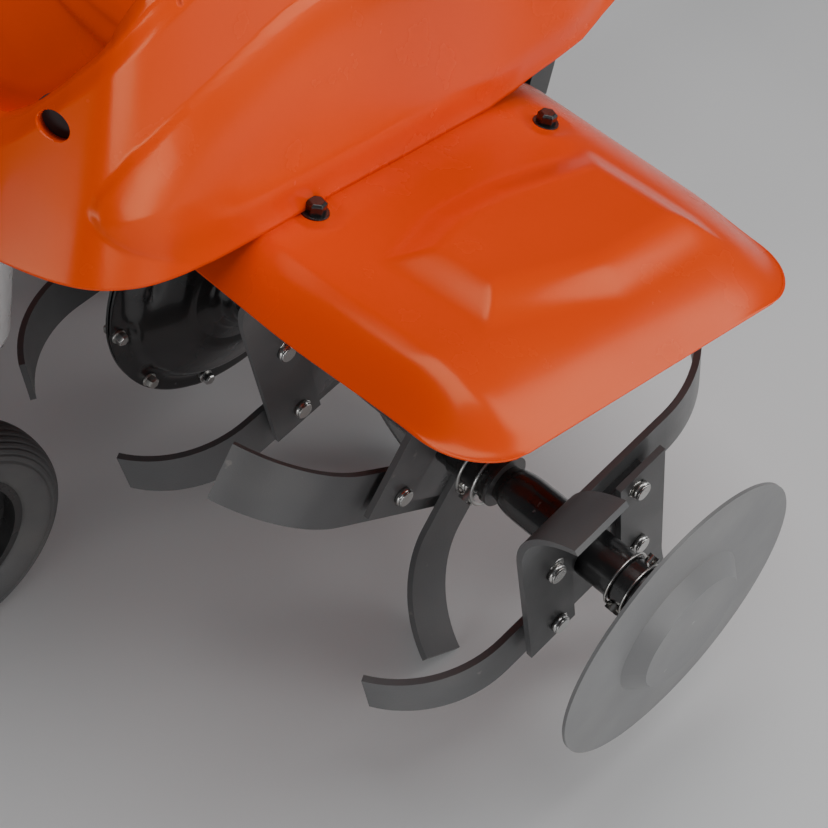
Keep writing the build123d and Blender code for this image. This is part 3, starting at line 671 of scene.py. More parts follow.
def open_port(bm, toward):
    """Cut one oval hole cleanly through the sheet, then turn its edge inwards as a short sleeve."""
    mirror = Vector((1.0, toward, 1.0))
    wide, high = PORT_R
    centre = level(PORT_AT[0], toward * PORT_AT[1], PORT_AT[2])
    aim, across, along = PORT_AIM * mirror, PORT_ACROSS * mirror, PORT_ALONG * mirror
    bm.faces.ensure_lookup_table()
    close = [face for face in bm.faces if (face.calc_center_median() - centre).length < PORT_SEARCH * MM]
    pierced = min(close, key=lambda face: (face.calc_center_median() - centre).cross(aim).length)
    centre += aim * (pierced.calc_center_median() - centre).dot(aim)
    inwards = pierced.normal * (-1.0 if pierced.normal.y * toward > 0 else 1.0)

    def place_in(spot):
        """A place in the port's own directions, and whether it is near the sheet there."""
        away = spot - centre
        return away.dot(across) / MM, away.dot(along) / MM, abs(away.dot(aim)) < PORT_DEPTH * MM

    for step in range(PORT_SIDES):
        angle = 2 * math.pi * (step + 0.5) / PORT_SIDES
        near = []
        for face in bm.faces:
            side, up_down, at_sheet = place_in(face.calc_center_median())
            if at_sheet and math.hypot(side, up_down) < PORT_REACH:
                near.append(face)
        parts = near + list({edge for face in near for edge in face.edges})
        parts += list({corner for face in near for corner in face.verts})
        normal = across * (math.cos(angle) / wide) + along * (math.sin(angle) / high)
        touch = centre + (across * wide * math.cos(angle) + along * high * math.sin(angle)) * MM
        bmesh.ops.bisect_plane(bm, geom=parts, dist=1e-7, plane_co=touch, plane_no=normal)
    inside = []
    for face in bm.faces:
        side, up_down, at_sheet = place_in(face.calc_center_median())
        if at_sheet and math.hypot(side / wide, up_down / high) < 1.0:
            inside.append(face)
    rim = {edge for face in inside for edge in face.edges}
    bmesh.ops.delete(bm, geom=inside, context="FACES")
    rim = [edge for edge in rim if edge.is_valid and len(edge.link_faces) == 1]
    sleeve = bmesh.ops.extrude_edge_only(bm, edges=rim)["geom"]
    bmesh.ops.translate(bm, verts=[item for item in sleeve if isinstance(item, bmesh.types.BMVert)],
                        vec=inwards * SLEEVE * MM)
    return centre + inwards * SLEEVE * MM, -inwards


print("sleeve behind each port: %.0f mm" % SLEEVE)

# %% [markdown]
# ## Painted shade behind the ports
# Looking into a port, one sees only shade. The space under the cover is dim, but light from below
# would still show through the hole. A pocket moulded into the sheet would stop it. A plain dark
# disc at the end of the sleeve is used instead: it is painted shade, looks the same and is far
# simpler. The helper makes it as a short closed bar.

# %% Ports and the painted shade behind them
COVER_THICK, PORT_SHADE_R = 3.0, 17.0


def cylinder(name, start, end, radius, material, body):
    """A closed round bar between two places in the scene, with its radius in millimetres."""
    bm = bmesh.new()
    bmesh.ops.create_cone(bm, cap_ends=True, segments=32, radius1=radius * MM, radius2=radius * MM,
                          depth=(end - start).length)
    turn = (end - start).to_track_quat("Z", "Y").to_matrix().to_4x4()
    bm.transform(Matrix.Translation((start + end) / 2) @ turn)
    mesh = bpy.data.meshes.new(name)
    bm.to_mesh(mesh)
    bm.free()
    mesh.polygons.foreach_set("use_smooth", [len(p.vertices) == 4 for p in mesh.polygons])
    return add_piece(name, mesh, material, body)


bm = bmesh.new()
bm.from_mesh(cover.data)
ports = [open_port(bm, toward) for toward in (1, -1)]
bm.to_mesh(cover.data)
bm.free()
thicken(cover, COVER_THICK)
# Each port is closed behind by a dark disc: painted shade for the dim inside of the cover.
for side, (centre, aim) in zip(("left", "right"), ports):
    cylinder(f"port_shade_disc_{side}", centre - aim * 1.5 * MM, centre - aim * 0.5 * MM, PORT_SHADE_R, plastic,
             "body")
print("cover faces after the ports:", len(cover.data.polygons))

# %% [markdown]
# ## Fasteners
# Hexagon bolts with a pressed washer hold the panels and the case, and plain round heads hold the
# tines to their plates. A hexagon head is a six-sided prism with its upper edge turned off, which a
# bevel modifier does well. Each group of bolts on one body is one object to keep the scene tidy.

# %% Bolt and round heads
WASHER_THICK, TURNED_EDGE = 1.4, 1.2


def stand_at(place, aim):
    """The turn and shift that stand something up on its seat."""
    return Matrix.Translation(place) @ Vector(aim).to_track_quat("Z", "Y").to_matrix().to_4x4()


def add_cone(bm, stand, low_r, high_r, low, high, sides):
    """A closed cone or prism between two heights above its seat."""
    lift = Matrix.Translation((0, 0, (low + high) / 2 * MM))
    bmesh.ops.create_cone(bm, cap_ends=True, segments=sides, radius1=low_r * MM, radius2=high_r * MM,
                          depth=(high - low) * MM, matrix=stand @ lift)


def bolt_mesh(bm, place, aim, across, height, washer):
    """One washer and hexagon head, turned by chance like a tightened bolt."""
    twist = Matrix.Rotation(random.uniform(0, math.pi / 3), 4, "Z")
    stand = stand_at(place, aim) @ twist
    corner = across / 2 / math.cos(math.pi / 6)
    shoulder = WASHER_THICK + height * 0.8
    add_cone(bm, stand, washer, washer * 0.96, 0.0, WASHER_THICK, 28)
    add_cone(bm, stand, corner, corner, WASHER_THICK, shoulder, 6)
    add_cone(bm, stand, corner, across / 2 * 0.86, shoulder, WASHER_THICK + height, 6)


def bolts(name, places, material, body, across, height, washer):
    """A group of bolt heads, each given by its seat and the way it points."""
    bm = bmesh.new()
    for place, aim in places:
        bolt_mesh(bm, place, aim, across, height, washer)
    mesh = bpy.data.meshes.new(name)
    bm.to_mesh(mesh)
    bm.free()
    made = add_piece(name, mesh, material, body)
    edge = made.modifiers.new("turned edges", "BEVEL")
    edge.width = 0.35 * MM
    edge.segments = 2


def round_heads(name, places, material, body, radius, height):
    """A group of plain round heads with a turned-off edge."""
    bm = bmesh.new()
    for place, aim in places:
        stand = stand_at(place, aim)
        add_cone(bm, stand, radius, radius, 0.0, height - TURNED_EDGE, 36)
        add_cone(bm, stand, radius, radius - TURNED_EDGE, height - TURNED_EDGE, height, 36)
    mesh = bpy.data.meshes.new(name)
    bm.to_mesh(mesh)
    bm.free()
    mesh.polygons.foreach_set("use_smooth", [len(p.vertices) == 4 for p in mesh.polygons])
    add_piece(name, mesh, material, body)


print("fastener helpers ready")

# %% [markdown]
# ## The bolts on the fenders
# Two black bolts hold each fender to the deck. They could be placed by eye, but a bolt that floats or
# sinks is seen at once, so each one is set on the height that the fender has just there, and points
# the way that the deck faces.

# %% Fender bolts
up = TIP.to_3x3() @ Vector((0, 0, 1))
fender_seats = []
for toward in (1, -1):
    for x, y in FENDER_BOLTS:
        fender_seats.append((level(x, toward * y, fender_height(x, y)), up))
bolts("fender_bolts", fender_seats, gloss_black, "body", across=13.0, height=8.0, washer=10.0)
print("fender bolts:", len(fender_seats))

# %% [markdown]
# ## The bolts on the tines
# Every tine blade is held to its star plate by two bright bolts, on the outer face of the plate or of
# the blade. The stars are the same on both sides of the machine apart from a small turn, so a loop
# over sides, stars, quarters and the two bolts of a blade places them all.

# %% Tine bolts
STARS = ((113.0, -8.0), (247.0, 37.0), (384.0, -8.0))
PLATE_HALF, BLADE_THICK, TINE_BOLT_OUT, TINE_BOLT_HALF = 3.0, 5.0, 43.0, 40.0
tine_seats = []
for toward, extra in ((1, 0.0), (-1, 6.0)):
    for station, turn in STARS:
        for quarter in range(4):
            angle = math.radians(turn + extra + 90 * quarter)
            bent_outward = quarter % 2 == 1
            lift = PLATE_HALF + BLADE_THICK if bent_outward else PLATE_HALF
            for along in (-TINE_BOLT_HALF, TINE_BOLT_HALF):
                x = along * math.cos(angle) + TINE_BOLT_OUT * math.sin(angle)
                z = along * math.sin(angle) - TINE_BOLT_OUT * math.cos(angle)
                tine_seats.append((about_shaft(x, toward * (station + lift), z), (0, toward, 0)))
round_heads("tine_bolts", tine_seats, zinc, "rotor", radius=7.4, height=6.0)
print("tine bolts:", len(tine_seats))

# %% [markdown]
# ## The pressed chain case
# The chain case hangs from the deck and holds the rotor shaft. Its outline is an arc round the shaft
# with straight sides up to the deck. It could be a circle and a box joined together, but the sides
# have to meet the arc without a corner, so the angle at which they touch it is worked out.

# %% Case outline
CASE_R, CASE_TOP_X, CASE_TOP_HALF, CASE_TOP_Z = 122.0, 20.0, 66.0, 195.4
CASE_POINTS = 150


def case_outline(inset, count):
    """The case's outline drawn in by some millimetres, from the top front round to the top rear."""
    radius, half = CASE_R - inset, max(1.0, CASE_TOP_HALF - inset * 0.8)
    top_front = Vector((CASE_TOP_X + half, CASE_TOP_Z))
    top_rear = Vector((CASE_TOP_X - half, CASE_TOP_Z))

    def touching(top, turn):
        """The angle at which a straight side from one top corner meets the arc."""
        return math.atan2(top.y, top.x) + turn * math.acos(radius / math.hypot(top.x, top.y))

    first, last = touching(top_front, -1.0), touching(top_rear, 1.0) - 2 * math.pi
    side = count // 4
    points = []
    start = Vector((math.cos(first), math.sin(first))) * radius
    for step in range(side):
        points.append(top_front.lerp(start, step / side))
    for step in range(count - 2 * side):
        angle = first + (last - first) * step / (count - 2 * side - 1)
        points.append(Vector((math.cos(angle), math.sin(angle))) * radius)
    end = points[-1]
    for step in range(1, side + 1):
        points.append(end.lerp(top_rear, step / side))
    return points


print("points round the case:", len(case_outline(0.0, CASE_POINTS)))

# %% [markdown]
# ## How far the case stands out
# Each half of the case is a deep pressing: a flat flange, a soft step up, a bright round shoulder and
# a sloping dome. Those could be turned like a bowl, if the case were round. As it isn't, the height is
# given by how far inside the outline a place lies. Small pockets leave room for the flange bolts, and
# two folds stiffen the sides.

# %% Case heights
CASE_BOLT_R = 115.0
CASE_FLANGE, POCKET_R, POCKET_SLOPE = 3.0, 8.5, 7.0
FOLDS, FOLDS_FROM, FOLDS_OVER = ((17.0, 4.5, 5.0), (29.0, 3.6, -4.0)), 2.0, 26.0
CASE_BOLT_ANGLES = (-154.0, -119.0, -84.0, -49.0, -12.0, 22.0)
CASE_RISE = ((0.0, 2.6), (1.0, 3.0), (11.0, 3.0), (15.0, 4.6), (19.0, 9.6), (22.0, 12.4), (27.0, 14.2),
             (40.0, 19.6), (52.0, 24.2), (58.0, 25.7), (64.0, 26.0))


def case_height(spot, inset):
    """How far the pressing stands off the machine's middle at one place."""
    height = between(CASE_RISE, inset)
    for angle in CASE_BOLT_ANGLES:
        bolt = Vector((math.cos(math.radians(angle)), math.sin(math.radians(angle)))) * CASE_BOLT_R
        away = (spot - bolt).length
        height = CASE_FLANGE + (height - CASE_FLANGE) * ease((away - POCKET_R) / POCKET_SLOPE)
    fold = sum(rise * math.exp(-((inset - at) / wide) ** 2) for at, wide, rise in FOLDS)
    return height + fold * ease((spot.y - FOLDS_FROM) / FOLDS_OVER)


print("dome stands out by %.1f mm" % CASE_RISE[-1][1])

# %% [markdown]
# ## The pressed halves of the case
# Every row of points is the same outline drawn further in, and only its height changes, so the
# highlights run round the case without a break. The last row is closed over the middle. The flange
# bolts go in the pockets that were left for them.

# %% Chain case halves
CASE_THICK = 2.0


def case_half(side):
    """One half of the case: the outline drawn in row by row, closed over the middle."""
    toward = 1 if side == "left" else -1
    insets = [0.0, 0.8, 2.0] + [2.0 * step for step in range(2, 33)]
    points, count = [], CASE_POINTS
    for inset in insets:
        for spot in case_outline(inset, count):
            points.append(level(spot.x, toward * case_height(spot, inset), spot.y))
    faces = sheet_faces(len(insets), count)
    last = (len(insets) - 1) * count
    for step in range(count // 2 - 1):
        a, b = last + step, last + count - 1 - step
        faces.append((a, a + 1, b - 1, b))
    half = piece_from(f"chain_case_pressing_{side}", points, faces, gloss_black, "body")
    face_outwards(half, lambda faces: sum(face.normal.y for face in faces) * toward < 0)
    thicken(half, CASE_THICK)
    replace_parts(half, f"chain_case_{side}")
    return half


case_halves = [case_half(side) for side in ("left", "right")]
case_seats = []
for toward in (1, -1):
    for angle in CASE_BOLT_ANGLES:
        x = CASE_BOLT_R * math.cos(math.radians(angle))
        z = CASE_BOLT_R * math.sin(math.radians(angle))
        case_seats.append((level(x, toward * CASE_FLANGE, z), (0, toward, 0)))
bolts("case_bolts", case_seats, zinc, "body", across=9.0, height=6.5, washer=6.4)
print("case quads:", len(case_halves[0].data.polygons), "bolts:", len(case_seats))

# %% [markdown]
# ## Turned pieces
# Shaft bosses, caps, grips and the engine's round covers are all turned pieces. Blender's Screw
# modifier could turn them, but flutes and slots would then need cuts afterwards. This helper places
# every point itself, so it can pull some in for a flute or leave some faces out for a slot. The
# stepped bosses where the shaft leaves the case are the first pieces made with it.

# %% Turned pieces
def lathe(name, profile, start, aim, material, body, sides=72, flute=None, keep=None):
    """A profile of (distance along, radius) turned about a line, with flutes or gaps if wanted."""
    start = Vector(start)
    axis = Vector(aim).normalized()
    side = axis.orthogonal().normalized()
    across = axis.cross(side)
    points, faces = [], []
    for along, radius in profile:
        for step in range(sides):
            angle = 2 * math.pi * step / sides
            reach = max(radius, 0.01) * (1.0 + (flute(step) if flute else 0.0))
            spoke = side * math.cos(angle) + across * math.sin(angle)
            points.append(start + (axis * along + spoke * reach) * MM)
    for ring in range(len(profile) - 1):
        for step in range(sides):
            if keep is None or keep(ring, step):
                ahead = (step + 1) % sides
                faces.append((ring * sides + step, ring * sides + ahead,
                              (ring + 1) * sides + ahead, (ring + 1) * sides + step))
    made = piece_from(name, points, faces, material, body)
    weld(made, 0.00003)
    return made


def crisp(made, degrees=32.0):
    """Keep turned corners sharp where the profile bends hard."""
    made.data.set_sharp_from_angle(angle=math.radians(degrees))
    return made


CASE_BOSS = ((22.0, 62.0), (26.2, 56.0), (27.0, 47.0), (29.0, 44.0), (30.5, 42.0), (30.8, 38.5),
             (33.0, 37.0), (37.5, 36.0), (38.2, 33.0), (40.5, 31.5), (49.0, 30.5), (50.0, 28.0),
             (50.0, 12.4))
for number, toward in ((1, 1), (2, -1)):
    lathe(f"case_boss_{number}", CASE_BOSS, AXLE, (0, toward, 0), gloss_black, "body")
print("rings in a boss:", len(CASE_BOSS))

# %% [markdown]
# ## Boxes with soft edges
# The block, the tank, the filter and the slide on the console are boxes, and a real box never has a
# sharp edge: it is cast, pressed or moulded with a small radius that catches the light. Rounding each
# one by hand would work for a few. A bevel modifier does it for all, with its width as an argument.

# %% Boxed pieces
def soft_boxes(name, spans, material, body, rounding, segments=3):
    """Level boxes with soft edges in one object, each given by two opposite corners."""
    bm = bmesh.new()
    for low, high in spans:
        corner = []
        for index in range(8):
            spot = [high[axis] if index >> axis & 1 else low[axis] for axis in range(3)]
            corner.append(bm.verts.new(level(*spot)))
        for face in ((0, 2, 3, 1), (4, 5, 7, 6), (0, 1, 5, 4), (2, 6, 7, 3), (0, 4, 6, 2), (1, 3, 7, 5)):
            bm.faces.new([corner[index] for index in face])
    mesh = bpy.data.meshes.new(name)
    bm.to_mesh(mesh)
    bm.free()
    mesh.polygons.foreach_set("use_smooth", [True] * len(mesh.polygons))
    made = add_piece(name, mesh, material, body)
    soften = made.modifiers.new("soft edges", "BEVEL")
    soften.width = rounding * MM
    soften.segments = segments
    soften.harden_normals = True
    return made


print("boxing helper ready")

# %% [markdown]
# ## The engine
# The engine stands in the cover's opening: a finned block, a round shroud with a slotted starter
# cover on top, a two-piece tank behind, the air filter on the left and the muffler on the right. The
# block could be a plain box with a striped texture, but its fins are seen from the side. Real thin
# slabs round a smaller core cost little and throw their own shadows.

# %% Finned block
ENGINE_X, ENGINE_SIDE = (-85.0, 105.0), 85.0
ENGINE_MID = sum(ENGINE_X) / 2
BLOCK_LOW, BLOCK_TOP = 202.4, 408.2
FINS, FIRST_FIN, FIN_STEP, FIN_THICK = 13, BLOCK_LOW + 44.0, 12.0, 3.4
CRANKCASE_HIGH, HEAD_THICK, CORE_IN = 36.0, 4.0, 10


def slab(low, high):
    """A level box over the whole plan of the engine."""
    return (ENGINE_X[0], -ENGINE_SIDE, low), (ENGINE_X[1], ENGINE_SIDE, high)


fins = [((ENGINE_X[0] + CORE_IN, -ENGINE_SIDE + CORE_IN, BLOCK_LOW),
         (ENGINE_X[1] - CORE_IN, ENGINE_SIDE - CORE_IN, BLOCK_TOP))]
for fin in range(FINS):
    low = FIRST_FIN + FIN_STEP * fin
    fins.append(slab(low, low + FIN_THICK))
fins.append(slab(BLOCK_LOW, BLOCK_LOW + CRANKCASE_HIGH))
fins.append(slab(BLOCK_TOP - HEAD_THICK, BLOCK_TOP))
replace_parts(soft_boxes("finned_block", fins, alloy, "body", rounding=1.2), "engine_block")
print("fins:", FINS)

# %% [markdown]
# ## The fan shroud
# A round steel shroud sits on the block and leads the air down over the fins. Its lower edge is a
# rolled band and its upper edge turns over softly. It could be a cylinder with a bevel, but the band
# and the roll are both easier to draw as a profile, and the same rolled cap serves the starter cover.

# %% Fan shroud
SHROUD_LOW, SHROUD_R, SHROUD_HIGH = 408.7, 112.0, 72.0


def rounded_cap(radius, height, roll, inner=0.0):
    """The profile of a round cover with a rolled upper edge."""
    profile = [(0.0, radius - 1.2), (1.2, radius)]
    for step in range(9):
        angle = math.pi / 2 * step / 8
        profile.append((height - roll + roll * math.sin(angle), radius - roll + roll * math.cos(angle)))
    profile.append((height, inner))
    return profile


shroud_profile = [(0.0, SHROUD_R - 1.5), (1.5, SHROUD_R), (9.0, SHROUD_R), (10.5, SHROUD_R - 2.5)]
for along, radius in rounded_cap(SHROUD_R, SHROUD_HIGH, 17.0):
    if along > 11:
        shroud_profile.append((along, radius - 2.5))
shroud = lathe("fan_shroud", shroud_profile, level(ENGINE_MID, 0, SHROUD_LOW), up, gloss_black,
               "body", sides=120)
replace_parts(crisp(shroud, 50.0), "cooling_shroud")
print("shroud rings:", len(shroud_profile))

# %% [markdown]
# ## The starter cover and its grip
# The starter cover sits on the shroud and draws air in through two rings of slots. Dark stripes would
# look like slots from above only, so they are real gaps in the sheet, with the dark fan housing below
# them. The grip of the starter cord is a small turned handle at the back of the shroud.

# %% Starter cover and grip
RECOIL_LOW, RECOIL_R, RECOIL_HIGH = SHROUD_LOW + SHROUD_HIGH + 0.3, 78.0, 26.0
starter_top = RECOIL_HIGH - 1.0
starter_profile = [(0.0, RECOIL_R), (3.0, RECOIL_R)] + rounded_cap(RECOIL_R, starter_top, 10.0, 62.0)[2:]
starter_profile += [(starter_top, 46.0), (starter_top, 42.0), (starter_top, 28.0),
                    (RECOIL_HIGH - 0.6, 24.0), (RECOIL_HIGH - 2.5, 21.0), (RECOIL_HIGH - 2.5, 0.0)]
slotted_rings = (len(starter_profile) - 7, len(starter_profile) - 5)
SLOT_EVERY, SLOT_WIDE = 8, 5


def starter_sheet(ring, step):
    """Whether a face stays: the slots are gaps in two of the rings."""
    return ring not in slotted_rings or step % SLOT_EVERY >= SLOT_WIDE


starter = lathe("starter_cover", starter_profile, level(ENGINE_MID, 0, RECOIL_LOW), up, plastic,
                "body", sides=96, keep=starter_sheet)
thicken(starter, 1.8)
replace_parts(crisp(starter, 40.0), "recoil_cover")
handle_x = ENGINE_MID - SHROUD_R - 9.3
pull = [(0.0, 0.0), (0.4, 5.0), (3.0, 8.2), (8.0, 9.0), (24.0, 7.6), (30.0, 8.6), (36.0, 7.6), (52.0, 9.0),
        (57.0, 8.2), (59.6, 5.0), (60.0, 0.0)]
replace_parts(lathe("starter_grip", pull, level(handle_x, -30.0, SHROUD_LOW + SHROUD_HIGH / 2), (0, 1, 0),
                  plastic, "body"), "starter_handle")
SCREW_RING_R = 95.0
cover_screws = []
for step in range(4):
    angle = math.radians(45 + 90 * step)
    cover_screws.append((level(ENGINE_MID + SCREW_RING_R * math.cos(angle), SCREW_RING_R * math.sin(angle),
                               SHROUD_LOW + SHROUD_HIGH - 1.4), up))
bolts("shroud_screws", cover_screws, zinc, "body", across=9.0, height=4.5, washer=6.5)
print("starter cover rings:", len(starter_profile), "screws:", len(cover_screws))

# %% [markdown]
# ## The fuel tank
# The tank is two pressed shells welded together, and the weld leaves a narrow seam all round. The seam
# could be cut into one box, but it stands out on the real thing, so a thin second box with soft edges
# is laid round the first. A fluted cap closes the tank.

# %% Tank and cap
tank_back, tank_right, tank_low = -177.0, -85.0, 314.3
tank_front, tank_left, tank_high = -85.4, 85.0, 406.3
tank_mid = (tank_low + tank_high) / 2
SEAM_HALF, SEAM_OUT = 1.4, 4
shell = ((tank_back + SEAM_OUT, tank_right + SEAM_OUT, tank_low),
         (tank_front - SEAM_OUT, tank_left - SEAM_OUT, tank_high))
seam = ((tank_back + 0.5, tank_right + 0.5, tank_mid - SEAM_HALF),
        (tank_front, tank_left - 0.5, tank_mid + SEAM_HALF))
tank = soft_boxes("pressed_tank", [shell], gloss_black, "body", rounding=20.0, segments=8)
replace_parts(tank, "fuel_tank")
soft_boxes("tank_seam", [seam], gloss_black, "body", rounding=1.2)
cap = [(0.0, 21.0), (2.0, 21.0), (3.0, 24.0), (15.0, 23.6), (18.6, 21.0), (20.0, 16.0), (19.2, 0.0)]
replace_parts(crisp(lathe("fluted_cap", cap, level(-140.2, 42.5, 406.6), up, plastic, "body",
                        sides=96, flute=lambda step: -0.05 if step % 8 < 3 else 0.0)), "fuel_cap")
print("tank seam at", round(tank_mid), "mm above the shaft")

# %% [markdown]
# ## The air filter and the muffler's screws
# The filter is a soft-edged plastic box with ribs across its cover and a knob to open it. The ribs
# could be a bump in the finish, but they show at the cover's edge, so they are thin boxes. The muffler
# on the other side stays as modelled, and only gets the four screws of its guard.

# %% Air filter and guard screws
near = SHROUD_R + 0.4
FILTER_DEEP, GUARD_FACE = 55, 66.2
filter_box = ((ENGINE_MID - 60, near, SHROUD_LOW), (ENGINE_MID + 60, near + FILTER_DEEP, SHROUD_LOW + 65.8))
filter_cover = soft_boxes("filter_cover", [filter_box], plastic, "body", rounding=12.0,
                          segments=6)
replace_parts(filter_cover, "air_filter")
ribs = []
for row in range(5):
    rib_low = SHROUD_LOW + 12 + 9 * row
    rib_high = SHROUD_LOW + 16 + 9 * row
    ribs.append(((ENGINE_MID - 42, near + 54, rib_low), (ENGINE_MID + 42, near + 57.5, rib_high)))
soft_boxes("filter_ribs", ribs, plastic, "body", rounding=1.4)
knob = [(0, 15), (3, 15.5), (8, 14), (10, 8), (9.4, 0)]
lathe("filter_knob", knob, level(ENGINE_MID, near + FILTER_DEEP, SHROUD_LOW + 34), (0, 1, 0),
      plastic, "body", sides=72, flute=lambda step: -0.08 if step % 12 < 6 else 0.0)
guard_seats = []
for ahead in (-46, 46):
    for high in (6, 56):
        guard_seats.append((level(ENGINE_MID + ahead, -(near + GUARD_FACE), SHROUD_LOW + high), (0, -1, 0)))
bolts("guard_screws", guard_seats, zinc, "body", across=7.0, height=3.5, washer=4.6)
print("filter ribs:", len(ribs), "guard screws:", len(guard_seats))

# %% [markdown]
# ## Grips and lever sleeves
# The grips are soft rubber with a row of ribs and a flange at the inner end, and the levers below
# them carry plastic sleeves. The ribs could be a bump, but the outline of a grip shows them, so they
# are part of the turned profile. Both pieces are set along the bar's own direction.

# %% Grips and lever sleeves
BAR_START, BAR_TIP, BAR_Y = Vector((-860.0, 0.0, 670.0)), Vector((-1010.0, 0.0, 700.0)), 290.0
bar_run = BAR_TIP - BAR_START
bar_along = bar_run.normalized()
bar_under = Vector((-bar_along.z, 0.0, bar_along.x))
GRIP_FROM, GRIP_SHARE = 0.25, 0.79
LEVER_BACK, LEVER_DROP, LEVER_TIP_DROP = 21.6, 52.0, 41.6
grip_low = BAR_START + bar_run * GRIP_FROM
grip_length = (bar_run * GRIP_SHARE).length
RIBS, RIB_STEP = 22, 4.8
grip_profile = [(0.0, 14.2), (0.0, 17.0), (1.0, 18.0), (4.0, 18.0), (6.0, 16.2)]
for rib in range(RIBS):
    at = 8.0 + RIB_STEP * rib
    grip_profile += [(at, 16.2), (at + 0.8, 17.6), (at + 2.8, 17.6), (at + 3.6, 16.2)]
grip_profile += [(grip_length - 4.5, 17.4), (grip_length - 1.0, 16.8), (grip_length, 15.0),
                 (grip_length, 0.0)]
turned = TIP.to_3x3()
for side, toward in (("left", 1), ("right", -1)):
    start = level(grip_low.x, toward * BAR_Y, grip_low.z)
    grip = lathe(f"ribbed_grip_{side}", grip_profile, start, turned @ bar_along, grip_rubber,
                 "handlebars", sides=48)
    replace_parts(crisp(grip, 50.0), "grips")
    hook = BAR_START + bar_along * LEVER_BACK + bar_under * LEVER_DROP
    tip = BAR_TIP + bar_under * LEVER_TIP_DROP
    reach = tip - hook
    first = hook + reach * 0.1
    sleeve_end = reach.length * 0.9
    sleeve = [(0.0, 4.6), (0.6, 6.0), (8.0, 6.4), (sleeve_end - 3, 6.4), (sleeve_end, 5.0),
              (sleeve_end + 1.5, 0.0)]
    lathe(f"lever_sleeve_{side}", sleeve, level(first.x, toward * BAR_Y, first.z), turned @ reach, plastic,
          "handlebars", sides=32)
print("grip ribs: %d, grip length %.0f mm" % (RIBS, grip_length))

# %% [markdown]
# ## The console and the column knob
# The console between the bars has a red stop button and a throttle slide, and a fluted knob clamps
# the bars to their column. These small things could be left out, but they are what a hand looks for
# first, and they give the bars their scale.

# %% Stop button, throttle and knob
red = finish("red switch plastic", (0.55, 0.01, 0.008), (0.5, 0.01, 0.01), (0.3, 0.4), grain=(1200.0, 0.05))
console_top = level(-652.0, -24.0, 604.4)
button = [(0, 9.5), (2.0, 9.5), (2.2, 7.6), (8.0, 7.4), (9.4, 5.6), (9.8, 0)]
lathe("stop_button", button, console_top, up, red, "handlebars", sides=48)
soft_boxes("throttle_track", [((-696.0, 14.0, 603.9), (-646.0, 34.0, 606.4))], gloss_plastic,
           "handlebars", rounding=1.0)
soft_boxes("throttle_slide", [((-676.0, 19.0, 606.0), (-664.0, 29.0, 620.0))], plastic,
           "handlebars", rounding=2.2)
lathe("column_knob", [(0, 7), (6, 7), (6, 17), (9, 19), (20, 18), (23, 14), (23.4, 0)],
      level(-268.0, 0.0, 270.2), up, plastic, "body", sides=72,
      flute=lambda step: -0.09 if step % 12 < 5 else 0.0)
print("console top at %.0f mm above the floor" % (console_top.z / MM))

# %% [markdown]
# ## The hub tubes
# Each side's rotor is two tubes that plug together. The inner one ends in a socket with a small
# rim, and the outer one starts with a rounded shoulder like a bottle's neck. The hubs could be drawn
# again, but they carry the star plates as well. So the solid is copied, cut into a few more rings
# where it has to bend, and given new radii there. The flat faces that look sideways are the star
# plates. They have the same black enamel as the tubes, but get a lighter copy of it with a few
# rubbed spots: the lighter colour is painted sheen for the light that their flat faces catch.

# %% Socket rim and bottle shoulder
SOCKET = ((262.0, 20.2), (295.0, 20.2), (296.5, 21.6), (303.1, 21.6))
SHOULDER = ((303.0, 14.2), (306.0, 14.2), (308.0, 15.3), (311.0, 16.6), (315.0, 17.6), (320.0, 18.3),
            (327.0, 18.7))
INNER_HUB_R, OUTER_HUB_R = 24.0, 18.7
ON_TUBE, PAST_TABLE = 0.4, 0.6
hub_axis = Vector((0.0, 0.0, AXLE[2]))


def reshaped_hub(name, solid_radius, table):
    """A copy of one hub, cut into rings along a stretch and given new radii there."""
    mesh = nodes[name].data.copy()
    mesh.transform(nodes[name].matrix_world)
    side = 1.0 if name.endswith("left") else -1.0
    bm = bmesh.new()
    bm.from_mesh(mesh)
    for along, radius in table:
        place = hub_axis + Vector((0.0, side * along * MM, 0.0))
        bmesh.ops.bisect_plane(bm, geom=bm.verts[:] + bm.edges[:] + bm.faces[:], dist=1e-6, plane_co=place,
                               plane_no=(0, 1, 0))
    for corner in bm.verts:
        away = corner.co - hub_axis
        along, away.y = side * away.y / MM, 0.0
        on_tube = abs(away.length / MM - solid_radius) < ON_TUBE
        if on_tube and table[0][0] - PAST_TABLE < along < table[-1][0] + PAST_TABLE:
            corner.co += away.normalized() * (between(table, along) * MM - away.length)
    bm.to_mesh(mesh)
    bm.free()
    mesh.materials.clear()
    made = add_piece(f"shaped_{name}", mesh, gloss_black, "rotor")
    # Faces that look sideways, the star plates, get the lighter enamel: painted sheen, not a different paint.
    mesh.materials.append(plate_sheen_enamel)
    for polygon in mesh.polygons:
        faces_sideways = abs(polygon.normal.y) > 0.95
        polygon.material_index = 1 if faces_sideways and polygon.area > 4e-6 else 0
    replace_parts(crisp(made), name)
    return made


for side in ("left", "right"):
    reshaped_hub(f"inner_hub_{side}", INNER_HUB_R, SOCKET)
    outer = reshaped_hub(f"outer_hub_{side}", OUTER_HUB_R, SHOULDER)
print("outer hub points:", len(outer.data.vertices))

# %% [markdown]
# ## The transport wheel
# The tyre is a full ring with fine grooves round its tread and shoulders. A torus with a bump could
# stand for it, but the grooves show in its outline. It is turned from one closed profile, so the
# grooves are simply steps in that profile. The rim stays as modelled.

# %% Grooved tyre
wheel = next(j for j in frame["joints"] if j["name"] == "wheel_spin")
WHEEL_AT = Vector(wheel["pos_m"])
TYRE_HALF, BEAD_R, TYRE_SIDE_R, TREAD_REACH = 25.0, 66.0, 84.0, 19.9
TYRE_SIDES, TYRE_STEPS, GROOVE_EVERY, GROOVE_DEPTH = 128, 96, 8, 1.7


